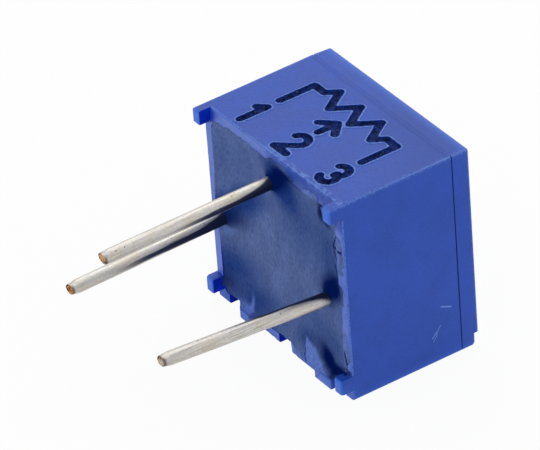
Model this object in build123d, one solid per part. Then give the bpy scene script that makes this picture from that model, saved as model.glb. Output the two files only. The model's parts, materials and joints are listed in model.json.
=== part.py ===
"""Square single-turn trimmer potentiometer with three wire leads, lying on its flat side.

Units are millimetres. X is the rotor's axis: the leads leave along -X and the adjuster faces +X.
The origin is on that axis, on the plane of the ends of the four feet, where a board would lie.
+Z is up, towards the marked side, and the part rests on its -Z side.
"""

import math
import os

from build123d import *

# Moulded housing, outside
body_width = 6.65
body_height = 6.64
body_depth = 4.37
corner_radius = 0.08
front_edge_radius = 0.08
step_height = 0.42
step_depth = 0.10
step_edge_radius = 0.14
parting_setback = 0.58
parting_width = 0.035
parting_depth = 0.03

# Feet that hold the body off the board
foot_length = 0.38
foot_thickness = 0.32
foot_height = 0.48
low_foot_raise = 0.36
foot_edge_radius = 0.05

# Well at the lead side, open to -X, with notches and low pads on the rest side's rim
side_wall = 0.32
marked_wall = 0.46
rest_wall = 0.30
well_corner_radius = 0.25
rim_edge_chamfer = 0.04
notch_insets = (0.565, 3.03)
notch_depths = (0.31, 0.34)
notch_floor = 0.06
notch_runs = (0.48, 0.58)
pad_insets = (1.10, 5.025)
pad_lengths = (1.00, 0.77)
pad_rise = 0.15
corner_gap_width = 0.53
corner_gap_depth = 0.30

# Rotor, its running fits and its travel
front_wall = 0.80
chamber_depth = 1.58
head_radius = 1.75
head_recess = 0.15
head_chamfer = 0.08
running_clearance = 0.05
flange_land = 0.13
flange_thickness = 0.43
end_float = 0.05
hub_radius = 1.30
hub_length = 0.25
lug_reach = 0.30
lug_half_angle = 10.0
turn_half_angle = 120.0
stop_margin_angle = 1.5
slot_width = 0.56
slot_length = 2.60
slot_depth = 0.76
pointer_length = 0.42
pointer_width = 0.90
pointer_depth = 0.18
pointer_inset = 0.12
stud_radius = 0.16
stud_places = (0.55, -0.25)

# Round rubber seal between the rotor's flange and the front wall
seal_cord = 0.46
seal_clearance = 0.03
seal_face_clearance = 0.02

# Sprung wiper
spring_thickness = 0.07
spring_half_width = 0.55
spring_top = 0.95
spring_bend = -0.60
spring_link = 0.20
finger_tip_lift = 0.16
finger_tip_run = 0.22
finger_count = 4
finger_slit = 0.07
tongue_half_width = 0.20
contact_gap = 0.02
stud_hole_clearance = 0.02

# Ceramic plate and its films
substrate_thickness = 0.60
substrate_clearance = 0.05
film_thickness = 0.04
track_width = 0.50
track_clearance = 0.33
track_half_angle = 125.0
film_joint_angle = 0.5
end_pad_angle = 11.0
bus_width = 0.30
film_gap = 0.15
collector_radius = 0.45
collector_width = 0.36

# Wire leads: a pair of end leads and a middle lead on the standard pitch
lead_pitch = 2.54
middle_lead_inset = 0.93
lead_radius = 0.205
lead_hole_clearance = 0.03
lead_head_overhang = 0.08
lead_head_thickness = 0.10
lead_knee = 0.24
lead_reaches = (5.05, 5.35, 5.21)
lead_lean_ys = (-0.02, 0.08, 0.22)
lead_lean_zs = (-0.09, -0.11, 0.25)

# Solder at the lead heads
solder_height = 0.26
solder_margin = 0.10
solder_top_radius = 0.20
bond_gap = 0.01
head_pocket_clearance = 0.04
head_pocket_margin = 0.10

# Potting that closes the well
potting_freeboard = 0.08
potting_dish = 0.14
potting_dish_inset = 0.42
potting_dish_taper = 30.0
meniscus_spread = 0.29
meniscus_crest = 0.04

cut_overrun = 1.0

# Stations along the rotor's axis, worked out from the sizes above
rim_x = foot_length
front_x = rim_x + body_depth
front_inner_x = front_x - front_wall
seat_x = front_inner_x - chamber_depth
substrate_back_x = seat_x - substrate_thickness
film_x = seat_x + film_thickness
head_face_x = front_x - head_recess
flange_front_x = front_inner_x - end_float
flange_back_x = flange_front_x - flange_thickness
hub_back_x = flange_back_x - hub_length
spring_back_x = hub_back_x - spring_thickness
seal_x = flange_front_x + seal_face_clearance + seal_cord / 2
seal_floor_x = seal_x + seal_cord / 2 + seal_face_clearance
contact_x = film_x + contact_gap
potting_x = rim_x + potting_freeboard

# Radii and places that follow from a fit
hole_radius = head_radius + running_clearance
seal_radius = head_radius + seal_clearance + seal_cord / 2
seal_bore_radius = seal_radius + seal_cord / 2 + seal_clearance
flange_radius = seal_bore_radius + flange_land
chamber_radius = flange_radius + running_clearance
lug_radius = flange_radius + lug_reach
groove_radius = lug_radius + running_clearance
groove_half_angle = turn_half_angle + lug_half_angle + stop_margin_angle
lead_head_radius = lead_radius + lead_head_overhang
lead_pad_radius = lead_head_radius + solder_margin
head_pocket_radius = lead_pad_radius + head_pocket_clearance
head_pocket_x = film_x + solder_height + head_pocket_margin
track_outer_radius = lead_pitch - lead_pad_radius - track_clearance
track_inner_radius = track_outer_radius - track_width
track_radius = (track_inner_radius + track_outer_radius) / 2
bus_inner_radius = track_outer_radius + film_gap
bus_outer_radius = bus_inner_radius + bus_width
meniscus_radius = lead_radius + meniscus_spread
well_width = body_width - 2 * side_wall
well_height = body_height - marked_wall - rest_wall
well_centre_z = (rest_wall - marked_wall) / 2
lead_names = ("1", "2", "3")
middle_lead_z = body_height / 2 - middle_lead_inset
lead_row_z = middle_lead_z - lead_pitch
lead_places = ((lead_pitch, lead_row_z), (0, middle_lead_z), (-lead_pitch, lead_row_z))
DOWN_ANGLE = -90.0
QUARTER_TURN = 90.0


def slab(sketch, x_from, x_to):
    """Extrude a sketch drawn in Y and Z between two stations on the rotor's axis."""
    return extrude(Plane.YZ.offset(x_from) * sketch, x_to - x_from)


def disc(radius, x_from, x_to, place=(0, 0)):
    """A round slab centred at a place in Y and Z."""
    return slab(Pos(*place) * Circle(radius), x_from, x_to)


def ring_sector(inner, outer, from_angle, to_angle):
    """Part of a flat ring, with its angles counted from straight down."""
    start = DOWN_ANGLE + from_angle
    sweep = to_angle - from_angle
    outer_arc = CenterArc((0, 0), outer, start, sweep)
    inner_arc = CenterArc((0, 0), inner, start, sweep)
    sides = [Line(inner_arc @ 0, outer_arc @ 0), Line(inner_arc @ 1, outer_arc @ 1)]
    return make_face([outer_arc, inner_arc] + sides)


def body_outline(inset=0):
    """The housing's outline seen along the rotor's axis."""
    return RectangleRounded(body_width - 2 * inset, body_height - 2 * inset, corner_radius)


def well_outline(inset=0):
    """The outline of the well that holds the ceramic plate and the potting."""
    outline = RectangleRounded(well_width - 2 * inset, well_height - 2 * inset, well_corner_radius)
    return Pos(0, well_centre_z) * outline


def band(y_low, y_high, z_low, z_high):
    """A rectangle in Y and Z, given by its edges."""
    centre = Pos((y_low + y_high) / 2, (z_low + z_high) / 2)
    return centre * Rectangle(y_high - y_low, z_high - z_low)


def foot(side, z_low):
    """One foot: the side wall carried on to the board, within the body's outline."""
    outer = side * body_width / 2
    inner = outer - side * foot_thickness
    corner = body_outline() & band(min(outer, inner), max(outer, inner), z_low, z_low + foot_height)
    tab = slab(corner, 0, rim_x + foot_thickness)
    end_edges = tab.faces().sort_by(Axis.X)[0].edges()
    return fillet(end_edges, foot_edge_radius)


def rim_pad(inset, length):
    """A low pad on the rest side's rim, placed from the side of the first end lead."""
    start = body_width / 2 - inset
    low = -body_height / 2
    outline = band(start - length, start, low, low + rest_wall)
    return slab(outline, rim_x - pad_rise, rim_x + rest_wall)


def rim_notch(place, depth, run):
    """A cut in the rest side's rim with one square flank and one that runs back up to the rim."""
    floor_x = rim_x + depth
    floor_end = place - notch_floor
    rise = run * cut_overrun / depth
    outline = Polyline(
        (rim_x - cut_overrun, place),
        (floor_x, place),
        (floor_x, floor_end),
        (rim_x - cut_overrun, floor_end - run - rise),
        close=True,
    )
    bottom = Plane.XY.offset(-body_height / 2 - cut_overrun)
    return extrude(bottom * make_face(outline), cut_overrun + rest_wall)


def outer_block():
    """The plain moulding: rounded box, stepped adjuster face and parting line."""
    block = slab(body_outline(), rim_x, front_x)
    block = fillet(block.faces().sort_by(Axis.X)[-1].edges(), front_edge_radius)
    block = chamfer(block.faces().sort_by(Axis.X)[0].edges(), rim_edge_chamfer)
    half_width = body_width / 2 + cut_overrun
    low = -body_height / 2
    step = band(-half_width, half_width, low - cut_overrun, low + step_height)
    block -= slab(step, front_x - step_depth, front_x + cut_overrun)
    block = fillet(block.faces().sort_by(Axis.Z)[0].edges().sort_by(Axis.X)[-1], step_edge_radius)
    parting_x = front_x - parting_setback
    groove = body_outline(-cut_overrun) - body_outline(parting_depth)
    return block - slab(groove, parting_x - parting_width, parting_x)


def housing():
    """The moulded body with its feet, well, rotor chamber, stop groove and seal bore."""
    body = outer_block()
    low = -body_height / 2
    for side in (1, -1):
        body += foot(side, low + low_foot_raise)
        body += foot(side, -low - foot_height)
    body -= slab(well_outline(), rim_x - cut_overrun, seat_x)
    for inset, length in zip(pad_insets, pad_lengths):
        body += rim_pad(inset, length)
    for inset, depth, run in zip(notch_insets, notch_depths, notch_runs):
        body -= rim_notch(body_width / 2 - inset, depth, run)
    inner = -well_width / 2
    gap = band(inner, inner + corner_gap_width, low - cut_overrun, low + rest_wall)
    body -= slab(gap, rim_x - cut_overrun, rim_x + corner_gap_depth)
    body -= disc(chamber_radius, seat_x, front_inner_x)
    groove = ring_sector(flange_radius, groove_radius, -groove_half_angle, groove_half_angle)
    body -= slab(groove, seat_x, front_inner_x)
    for place in lead_places:
        body -= disc(head_pocket_radius, seat_x, head_pocket_x, place)
    body -= disc(seal_bore_radius, front_inner_x, seal_floor_x)
    return body - disc(hole_radius, seal_floor_x, front_x + cut_overrun)


def rotor():
    """The adjuster: slotted head, flange with its stop lug, hub and two studs for the wiper."""
    head = disc(head_radius, flange_back_x, head_face_x)
    head = chamfer(head.faces().sort_by(Axis.X)[-1].edges(), head_chamfer)
    body = head + disc(flange_radius, flange_back_x, flange_front_x)
    body += disc(hub_radius, hub_back_x, flange_back_x)
    lug = ring_sector(hub_radius, lug_radius, -lug_half_angle, lug_half_angle)
    body += slab(lug, flange_back_x, flange_front_x)
    slot = SlotOverall(slot_length, slot_width, rotation=DOWN_ANGLE)
    body -= slab(slot, head_face_x - slot_depth, head_face_x + cut_overrun)
    tip = -head_radius + head_chamfer + pointer_inset
    base = tip + pointer_length
    arrow = Polyline((0, tip), (pointer_width / 2, base), (-pointer_width / 2, base), close=True)
    body -= slab(make_face(arrow), head_face_x - pointer_depth, head_face_x + cut_overrun)
    stud_end_x = spring_back_x - spring_thickness
    for height in stud_places:
        body += disc(stud_radius, stud_end_x, hub_back_x, (0, height))
    return body


def seal_ring():
    """The round rubber ring, lying in the seal bore against the rotor's flange."""
    centre = Pos(seal_x, 0, 0) * Rot(0, QUARTER_TURN, 0)
    return centre * Torus(seal_radius, seal_cord / 2)


def leaf(points, half_width):
    """A strip of spring that follows points in Z and X, with its thickness laid off along +X."""
    lower = [(x, z) for z, x in points]
    upper = [(x + spring_thickness, z) for z, x in reversed(points)]
    outline = make_face(Polyline(*lower, *upper, close=True))
    face = Plane(origin=(0, 0, 0), x_dir=(1, 0, 0), z_dir=(0, -1, 0)) * outline
    return extrude(face, half_width, both=True)


def wiper_spring():
    """The wiper: plate on the studs, comb of fingers on the track, folded tongue on the collector."""
    fingers = [
        (spring_top, spring_back_x),
        (spring_bend, spring_back_x),
        (-track_radius, contact_x),
        (-track_radius - finger_tip_run, contact_x + finger_tip_lift),
    ]
    spring = leaf(fingers, spring_half_width)
    comb_top = -track_inner_radius + finger_tip_run
    comb_low = -track_outer_radius - cut_overrun
    pitch = 2 * spring_half_width / finger_count
    for index in range(1, finger_count):
        middle = index * pitch - spring_half_width
        slit = band(middle - finger_slit / 2, middle + finger_slit / 2, comb_low, comb_top)
        spring -= slab(slit, seat_x, hub_back_x)
    fold = band(-tongue_half_width, tongue_half_width, spring_top - spring_thickness, spring_top)
    spring += slab(fold, spring_back_x - spring_link, spring_back_x)
    tongue = [(spring_top, spring_back_x - spring_link), (0, contact_x)]
    spring += leaf(tongue, tongue_half_width)
    for height in stud_places:
        stud_hole = stud_radius + stud_hole_clearance
        spring -= disc(stud_hole, spring_back_x - spring_thickness, hub_back_x, (0, height))
    return spring


def substrate():
    """The ceramic plate, seated on the ledge in the housing, with a hole for each lead."""
    plate = slab(well_outline(substrate_clearance), substrate_back_x, seat_x)
    for place in lead_places:
        plate -= disc(lead_radius + lead_hole_clearance, seat_x - cut_overrun, film_x, place)
    return plate


def film(sketch, lead_place=None):
    """A printed film on the ceramic plate, with a hole where a lead comes through it."""
    layer = slab(sketch, seat_x, film_x)
    if lead_place is not None:
        layer -= disc(lead_radius + lead_hole_clearance, seat_x - cut_overrun, film_x, lead_place)
    return layer


def resistance_track():
    """The horseshoe of resistance film that the fingers sweep."""
    return film(ring_sector(track_inner_radius, track_outer_radius, -track_half_angle, track_half_angle))


def collector_track():
    """The conductor from the centre out to the middle lead."""
    place = lead_places[1]
    strip = band(-collector_width / 2, collector_width / 2, 0, place[1])
    return film(Circle(collector_radius) + strip + Pos(*place) * Circle(lead_pad_radius), place)


def end_conductor(place):
    """The conductor from one end of the track round to its lead."""
    side = 1 if place[0] > 0 else -1
    near = track_half_angle + film_joint_angle
    far = near + end_pad_angle
    lead_angle = math.degrees(math.atan2(abs(place[0]), -place[1]))
    link = ring_sector(track_inner_radius, bus_outer_radius, side * near, side * far)
    bus = ring_sector(bus_inner_radius, bus_outer_radius, side * lead_angle, side * far)
    return film(link + bus + Pos(*place) * Circle(lead_pad_radius), place)


def lead(index):
    """A headed wire: straight through the plate and the potting, then leaning from its knee."""
    y, z = lead_places[index]
    head = disc(lead_head_radius, film_x, film_x + lead_head_thickness, (y, z))
    tip = (-lead_reaches[index], y + lead_lean_ys[index], z + lead_lean_zs[index])
    path = Polyline((film_x, y, z), (lead_knee, y, z), tip)
    section = Plane((film_x, y, z), z_dir=(-1, 0, 0)) * Circle(lead_radius)
    return head + sweep(section, path, transition=Transition.RIGHT)


def solder_joint(place):
    """A cone of solder over a lead's head, standing on the printed pad."""
    profile = make_face(Polyline(
        (film_x, 0),
        (film_x, lead_pad_radius),
        (film_x + solder_height, solder_top_radius),
        (film_x + solder_height, 0),
        close=True,
    ))
    cone = Pos(0, *place) * revolve(Plane.XY * profile, Axis.X)
    pocket = disc(lead_head_radius + bond_gap, film_x - cut_overrun, film_x + lead_head_thickness, place)
    return cone - pocket


def epoxy_seal():
    """The potting: fills the well behind the plate, dished, with a meniscus up each lead."""
    fill = slab(well_outline(bond_gap), potting_x, substrate_back_x)
    dish = Plane.YZ.offset(potting_x) * well_outline(potting_dish_inset)
    fill -= extrude(dish, potting_dish, taper=potting_dish_taper)
    floor_x = potting_x + potting_dish
    crest_radius = lead_radius + meniscus_crest
    for place in lead_places:
        profile = make_face(Polyline(
            (floor_x, 0),
            (floor_x, meniscus_radius),
            (lead_knee, crest_radius),
            (lead_knee, 0),
            close=True,
        ))
        cone = Pos(0, *place) * revolve(Plane.XY * profile, Axis.X)
        fill += cone & slab(well_outline(bond_gap), -cut_overrun, substrate_back_x)
    for place in lead_places:
        fill -= disc(lead_radius + bond_gap, -cut_overrun, seat_x, place)
    return fill


def all_pieces():
    """Every piece of the part, by the name of its node."""
    pieces = {
        "housing": housing(),
        "rotor": rotor(),
        "seal_ring": seal_ring(),
        "wiper_spring": wiper_spring(),
        "substrate": substrate(),
        "resistance_track": resistance_track(),
        "collector_track": collector_track(),
        "end_conductor_1": end_conductor(lead_places[0]),
        "end_conductor_3": end_conductor(lead_places[2]),
        "epoxy_seal": epoxy_seal(),
    }
    for index, name in enumerate(lead_names):
        pieces["lead_" + name] = lead(index)
        pieces["solder_joint_" + name] = solder_joint(lead_places[index])
    return pieces


os.makedirs("parts", exist_ok=True)
for node, shape in all_pieces().items():
    export_step(shape, os.path.join("parts", node + ".step"))
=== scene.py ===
"""Looks of a small square trimmer potentiometer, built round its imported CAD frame.

Every finished piece is in metres, in the frame's own axes: X is the adjuster's axis with the leads along -X,
and +Z is up, towards the marked side. New pieces are modelled at WORK_SCALE times their size, which makes a
millimetre one unit, because the edit tools round off lengths near a micrometre. They go back to metres at the end.
"""

import json
import math

import bmesh
import bpy
from bpy.props import FloatProperty, FloatVectorProperty, IntProperty, PointerProperty
from mathutils import Matrix, Vector, bvhtree, noise


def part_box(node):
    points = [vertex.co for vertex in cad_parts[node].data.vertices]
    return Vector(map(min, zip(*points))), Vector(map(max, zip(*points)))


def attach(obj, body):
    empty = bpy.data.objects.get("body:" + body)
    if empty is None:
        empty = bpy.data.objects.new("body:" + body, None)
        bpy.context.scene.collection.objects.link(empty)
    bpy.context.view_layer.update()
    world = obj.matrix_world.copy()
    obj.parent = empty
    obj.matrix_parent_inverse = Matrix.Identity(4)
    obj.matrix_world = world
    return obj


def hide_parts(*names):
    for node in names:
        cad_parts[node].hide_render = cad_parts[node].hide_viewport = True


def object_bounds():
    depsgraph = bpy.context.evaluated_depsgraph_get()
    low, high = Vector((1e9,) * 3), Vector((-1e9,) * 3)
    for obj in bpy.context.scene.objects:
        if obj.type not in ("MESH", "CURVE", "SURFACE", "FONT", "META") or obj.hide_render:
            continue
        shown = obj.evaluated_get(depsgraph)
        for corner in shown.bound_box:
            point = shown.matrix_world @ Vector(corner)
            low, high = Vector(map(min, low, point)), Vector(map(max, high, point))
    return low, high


bl_info = {
    "name": "Trimmer potentiometer looks",
    "version": (1, 0, 0),
    "blender": (4, 5, 0),
    "location": "View3D > Sidebar > Trimmer",
    "description": "Models and finishes the pieces of a square trimmer potentiometer on its CAD frame",
    "category": "Object",
}

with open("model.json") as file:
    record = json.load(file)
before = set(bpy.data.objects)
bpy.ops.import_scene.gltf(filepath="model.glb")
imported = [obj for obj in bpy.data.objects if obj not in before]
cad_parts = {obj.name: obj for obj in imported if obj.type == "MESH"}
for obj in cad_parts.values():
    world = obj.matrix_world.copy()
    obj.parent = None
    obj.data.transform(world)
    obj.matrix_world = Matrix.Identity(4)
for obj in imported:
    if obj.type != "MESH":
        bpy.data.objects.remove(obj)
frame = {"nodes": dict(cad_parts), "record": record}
CAD_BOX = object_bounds()
WORK_SCALE = 1000.0
MM = 1.0 / WORK_SCALE

# Lengths below are in work units, which are millimetres
MERGE_DISTANCE = 0.0005
NEAR = 0.01
RAGGED_SCALE = 0.07
SLIVER = 0.001
FLAT_ANGLE = math.radians(0.6)
SMOOTH_ANGLE = math.radians(32.0)
SHARP_ANGLE = math.radians(40.0)
HOUSING_LOW, HOUSING_HIGH = (corner * WORK_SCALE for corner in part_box("housing"))
SEAL_LOW, SEAL_HIGH = (corner * WORK_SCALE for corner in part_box("epoxy_seal"))
RIM_X = 0.38
RIM_CHAMFER = 0.04
PAD_X = 0.23
PAD_END = 2.9
FRONT_HOLE_REACH = 2.5
FOOT_THICKNESS = 0.32
FOOT_HEIGHT = 0.48
LOW_FOOT_RAISE = 0.36
PARTING_X = 4.17
PARTING_WIDTH = 0.035
TOP_SKIN = 0.05
TOP_GROOVE_DEPTH = 0.004
TOP_STEP = (3.99, 4.12)
WALL_INNER_Y = SEAL_HIGH.y
WALL_INNER_TOP = SEAL_HIGH.z
WALL_INNER_LOW = SEAL_LOW.z
RIM_CUTS = 60
RIM_WEAR = 0.040
RIM_WORN_SHARE = 0.4
RIM_RIPPLES = (0.6, 1.9), (0.5, 6.5)
RIM_STRAIGHT_Y = 2.6, 3.0
RIM_STRAIGHT_SHARE = 0.8
SLOT_SHADE_DEPTH = 0.04, 0.55
END_FACING = 0.9
SHADE = "hollow_shade"
SHADOW_AND_CRACKS = "wet_resin"
PALE = "thin_film"
REFLECTION_AND_CUT_EDGE = "tarnish"
BARE = "bare_copper"

# Scratches on the plain side: both ends as X and Z, and the width
SCRATCHES = (
    ((3.52, -1.50), (3.85, -1.64), 0.040),
    ((3.46, -2.12), (3.30, -2.34), 0.026),
    ((3.33, -2.28), (3.17, -2.44), 0.032),
    ((3.34, -2.38), (3.20, -2.56), 0.020),
)
BOARD_PINS = [mount for mount in frame["record"]["mounts"] if mount["kind"] == "pin"]

# Stage, in metres, and the sensor in millimetres
FLOOR_SIZE = 4.0
FLOOR_GLOW = 0.94
PAPER = 0.95, 0.95, 0.95
WHITE = 1.0, 1.0, 1.0
LAMP_SIZE = 0.30
LAMP_PLACE = 0.16, 0.20, 0.30
SENSOR_WIDTH = 36.0
CAMERA_CLIP = 0.005, 20.0


class PIN:
    """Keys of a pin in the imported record."""
    PLACE = "pos_m"
    AXIS = "axis"
    SIZES = "dims"
    RADIUS = "r_mm"
    LENGTH = "length_mm"


class TrimmerSizes(bpy.types.PropertyGroup):
    """Sizes of the detail that the looks add to the frame."""
    stroke_width: FloatProperty(
        name="Stroke width", description="Width of an engraved stroke", default=0.27 * MM, unit="LENGTH", precision=6)
    stroke_depth: FloatProperty(
        name="Stroke depth", description="Depth of an engraved stroke", default=0.13 * MM, unit="LENGTH", precision=6)
    lip_width: FloatProperty(
        name="Lip width", description="Reach of the melted lip beside a stroke", default=0.058 * MM, unit="LENGTH",
        precision=6)
    lip_height: FloatProperty(
        name="Lip height", description="Rise of the melted lip", default=0.030 * MM, unit="LENGTH", precision=6)
    edge_softness: FloatProperty(
        name="Edge softness", description="Width of the rounding on moulded edges", default=0.022 * MM, unit="LENGTH",
        precision=6)
    potting_steps: IntProperty(
        name="Potting steps", description="Faces across the potting's surface", default=200, min=20, max=260)
    wire_sides: IntProperty(name="Wire sides", description="Faces round a lead", default=48, min=12, max=96)


class TrimmerColours(bpy.types.PropertyGroup):
    """Colours of the finishes."""
    body: FloatVectorProperty(
        name="Body", description="Moulded blue of the housing", subtype="COLOR", default=(0.0062, 0.066, 0.475))
    # Painted shade: a shaded copy of the body's blue, for faces inside the rim and for the rim by the feet
    shade_blue: FloatVectorProperty(
        name="Recess", description="Clear deep blue of faces inside the rim", subtype="COLOR",
        default=(0.003, 0.036, 0.66))
    rim: FloatVectorProperty(
        name="Rim", description="Dull lilac of the rubbed rim", subtype="COLOR", default=(0.110, 0.205, 0.72))
    # Painted light: a lit copy of the body's blue, for the foot ends, the front of the top, the low left rim and the
    # lowest parts
    foot: FloatVectorProperty(
        name="Foot", description="Bright blue of the foot ends", subtype="COLOR", default=(0.032, 0.170, 0.84))
    # Also the painted highlight along the edges and the painted glints in the strokes
    worn: FloatVectorProperty(
        name="Worn edge", description="Pale blue of rubbed edges and scratches", subtype="COLOR",
        default=(0.15, 0.29, 0.78))
    mark: FloatVectorProperty(
        name="Mark", description="Burnt blue of the engraved strokes", subtype="COLOR", default=(0.008, 0.034, 0.22))
    char: FloatVectorProperty(
        name="Char", description="Darkest part of an engraved stroke", subtype="COLOR", default=(0.0015, 0.005, 0.045))
    resin: FloatVectorProperty(
        name="Resin", description="Slate blue of the potting where it is level", subtype="COLOR",
        default=(0.124, 0.190, 0.44))
    # Painted shade on the potting: in hollows, along the walls and over broad parts of the well
    resin_shade: FloatVectorProperty(
        name="Dark resin", description="Potting in hollows and along the walls", subtype="COLOR",
        default=(0.017, 0.056, 0.265))
    # Painted shadow on the potting round the leads, in the trough and the slit, also used for its cracks
    resin_shadow: FloatVectorProperty(
        name="Wet resin", description="Potting where it climbs a lead", subtype="COLOR",
        default=(0.0004, 0.0105, 0.110))
    # Thin potting over the plastic, also used for a painted highlight on the ridge below a lead
    resin_film_and_highlight: FloatVectorProperty(
        name="Resin film", description="Thin potting over blue plastic", subtype="COLOR", default=(0.165, 0.275, 0.78))
    tin: FloatVectorProperty(
        name="Tin", description="Tinned surface of the leads", subtype="COLOR", default=(0.60, 0.58, 0.55))
    copper: FloatVectorProperty(
        name="Copper", description="Bare metal of a cut lead end", subtype="COLOR", default=(0.66, 0.32, 0.10))
    ivory: FloatVectorProperty(
        name="Ivory", description="Moulded adjuster", subtype="COLOR", default=(0.76, 0.72, 0.60))


class TrimmerStage(bpy.types.PropertyGroup):
    """Camera and light."""
    azimuth: FloatProperty(
        name="Azimuth", description="Turn of the camera round the part", subtype="ANGLE", default=math.radians(-32.19))
    elevation: FloatProperty(
        name="Elevation", description="Height of the camera over the floor", subtype="ANGLE",
        default=math.radians(34.92))
    roll: FloatProperty(name="Roll", description="Tilt of the picture", subtype="ANGLE", default=math.radians(-4.40))
    distance: FloatProperty(
        name="Distance", description="From the camera to the point it aims at", default=0.190, unit="LENGTH")
    aim: FloatVectorProperty(
        name="Aim", description="Point in the middle of the picture", subtype="XYZ",
        default=(0.783 * MM, 0.947 * MM, 0.219 * MM), precision=6)
    lens: FloatProperty(name="Lens", description="Focal length on a 36 mm sensor", default=451.56, unit="CAMERA")
    sky: FloatProperty(name="Sky", description="Strength of the plain light from all round", default=0.70)
    lamp_power: FloatProperty(name="Lamp power", description="Strength of the soft lamp behind the part", default=0.30)


def work(length):
    """A length in metres as a length in work units."""
    return length * WORK_SCALE


def activate(piece):
    """Selects one object and makes it active."""
    bpy.ops.object.select_all(action="DESELECT")
    piece.select_set(True)
    bpy.context.view_layer.objects.active = piece


def edit(piece):
    """Opens a piece in edit mode with nothing selected, and gives its live mesh."""
    activate(piece)
    bpy.ops.object.mode_set(mode="EDIT")
    bpy.ops.mesh.select_mode(type="FACE")
    bpy.ops.mesh.select_all(action="DESELECT")
    return bmesh.from_edit_mesh(piece.data)


def close_edit():
    bpy.ops.object.mode_set(mode="OBJECT")


def apply_modifier(piece, kind, **settings):
    """Adds a modifier with these settings and applies it at once."""
    activate(piece)
    modifier = piece.modifiers.new(kind.title(), kind)
    for key, value in settings.items():
        setattr(modifier, key, value)
    bpy.ops.object.modifier_apply(modifier=modifier.name)


def copy_of_node(name, node):
    """A work-scale copy of a CAD node's mesh, merged and with its flat faces joined."""
    piece = bpy.data.objects.new(name, frame["nodes"][node].data.copy())
    bpy.context.scene.collection.objects.link(piece)
    piece.data.materials.clear()
    piece.scale = (WORK_SCALE,) * 3
    activate(piece)
    bpy.ops.object.transform_apply(location=False, rotation=False, scale=True)
    bpy.ops.mesh.customdata_custom_splitnormals_clear()
    edit(piece)
    bpy.ops.mesh.select_all(action="SELECT")
    bpy.ops.mesh.remove_doubles(threshold=MERGE_DISTANCE)
    bpy.ops.mesh.dissolve_limited(angle_limit=FLAT_ANGLE)
    close_edit()
    return piece


def finish_piece(piece, body, slot, *nodes):
    """Brings a piece back to metres, shades it and hangs it on the frame."""
    piece.scale = (MM,) * 3
    activate(piece)
    bpy.ops.object.transform_apply(location=False, rotation=False, scale=True)
    bpy.ops.object.shade_smooth_by_angle(angle=SMOOTH_ANGLE)
    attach(piece, body)
    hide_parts(*nodes)


class Signal:
    """A value or a colour in a shader tree. Sums on it become nodes of that tree."""

    def __init__(self, tree, socket):
        self.tree = tree
        self.socket = socket

    def sum(self, operation, first, second=0.0, clamp=False):
        made = node(self.tree, "ShaderNodeMath", {0: first, 1: second}, operation=operation, use_clamp=clamp)
        return Signal(self.tree, made.outputs[0])

    def __add__(self, other):
        return self.sum("ADD", self, other)

    def __sub__(self, other):
        return self.sum("SUBTRACT", self, other)

    def __rsub__(self, other):
        return self.sum("SUBTRACT", other, self)

    def __mul__(self, other):
        return self.sum("MULTIPLY", self, other)

    def __truediv__(self, other):
        return self.sum("DIVIDE", self, other)

    def __abs__(self):
        return self.sum("ABSOLUTE", self)

    def most(self, other):
        return self.sum("MAXIMUM", self, other)

    def least(self, other):
        return self.sum("MINIMUM", self, other)

    def ramp(self, low, high, smooth=True):
        """The value mapped from low..high to 0..1."""
        made = node(self.tree, "ShaderNodeMapRange", {"Value": self, "From Min": low, "From Max": high},
                    interpolation_type="SMOOTHSTEP" if smooth else "LINEAR")
        return Signal(self.tree, made.outputs[0])

    def between(self, low, high):
        """The value mapped from 0..1 to low..high."""
        made = node(self.tree, "ShaderNodeMapRange", {"Value": self, "To Min": low, "To Max": high})
        return Signal(self.tree, made.outputs[0])

    def band(self, middle, half, soft):
        """One where the value lies within half of a middle, with a soft edge."""
        return abs(self - middle).ramp(half + soft, half)

    def mix(self, share, other, mode="MIX"):
        """This colour, with a share of another over it."""
        return blend(self.tree, share, self, other, mode)


def feed(tree, socket, value):
    """Links a signal or an output to a socket, or sets the socket's constant."""
    if isinstance(value, Signal):
        value = value.socket
    if isinstance(value, bpy.types.NodeSocket):
        tree.links.new(value, socket)
    else:
        socket.default_value = value


def node(tree, kind, values=None, **settings):
    """Adds a shader node and feeds its sockets."""
    made = tree.nodes.new(kind)
    for key, value in settings.items():
        setattr(made, key, value)
    for key, value in (values or {}).items():
        feed(tree, made.inputs[key], value)
    return made


def blend(tree, share, first, second, mode="MIX"):
    """Two colours mixed by a share."""
    made = node(tree, "ShaderNodeMix", {0: share, 6: first, 7: second}, data_type="RGBA", blend_type=mode)
    return Signal(tree, made.outputs[2])


def tint(colour, share=1.0):
    """A colour made darker or lighter by a share, with its alpha."""
    return (*(channel * share for channel in colour), 1.0)


def vector_sum(operation, first, values, output="Vector"):
    """One sum on vectors."""
    made = node(first.tree, "ShaderNodeVectorMath", {0: first, **values}, operation=operation)
    return Signal(first.tree, made.outputs[output])


def axes_of(place):
    """X, Y and Z of a place."""
    return [Signal(place.tree, axis) for axis in node(place.tree, "ShaderNodeSeparateXYZ", {0: place}).outputs]


def stretched(place, *scale):
    """A place scaled by its axes."""
    return Signal(place.tree, node(place.tree, "ShaderNodeMapping", {"Vector": place, "Scale": scale}).outputs[0])


def noise_at(place, scale, detail, roughness=0.5):
    """A noise at a place."""
    made = node(place.tree, "ShaderNodeTexNoise", {
        "Vector": place, "Scale": scale, "Detail": detail, "Roughness": roughness})
    return Signal(place.tree, made.outputs["Fac"])


def painted(tree, name):
    """A value that is stored on the mesh."""
    return Signal(tree, node(tree, "ShaderNodeAttribute", attribute_name=name).outputs["Fac"])


def bump(height, strength, distance):
    """A bump normal from a height, with its distance in millimetres."""
    made = node(height.tree, "ShaderNodeBump", {"Height": height, "Strength": strength, "Distance": distance * MM})
    return Signal(height.tree, made.outputs[0])


FLOAT, VECTOR = "NodeSocketFloat", "NodeSocketVector"


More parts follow.
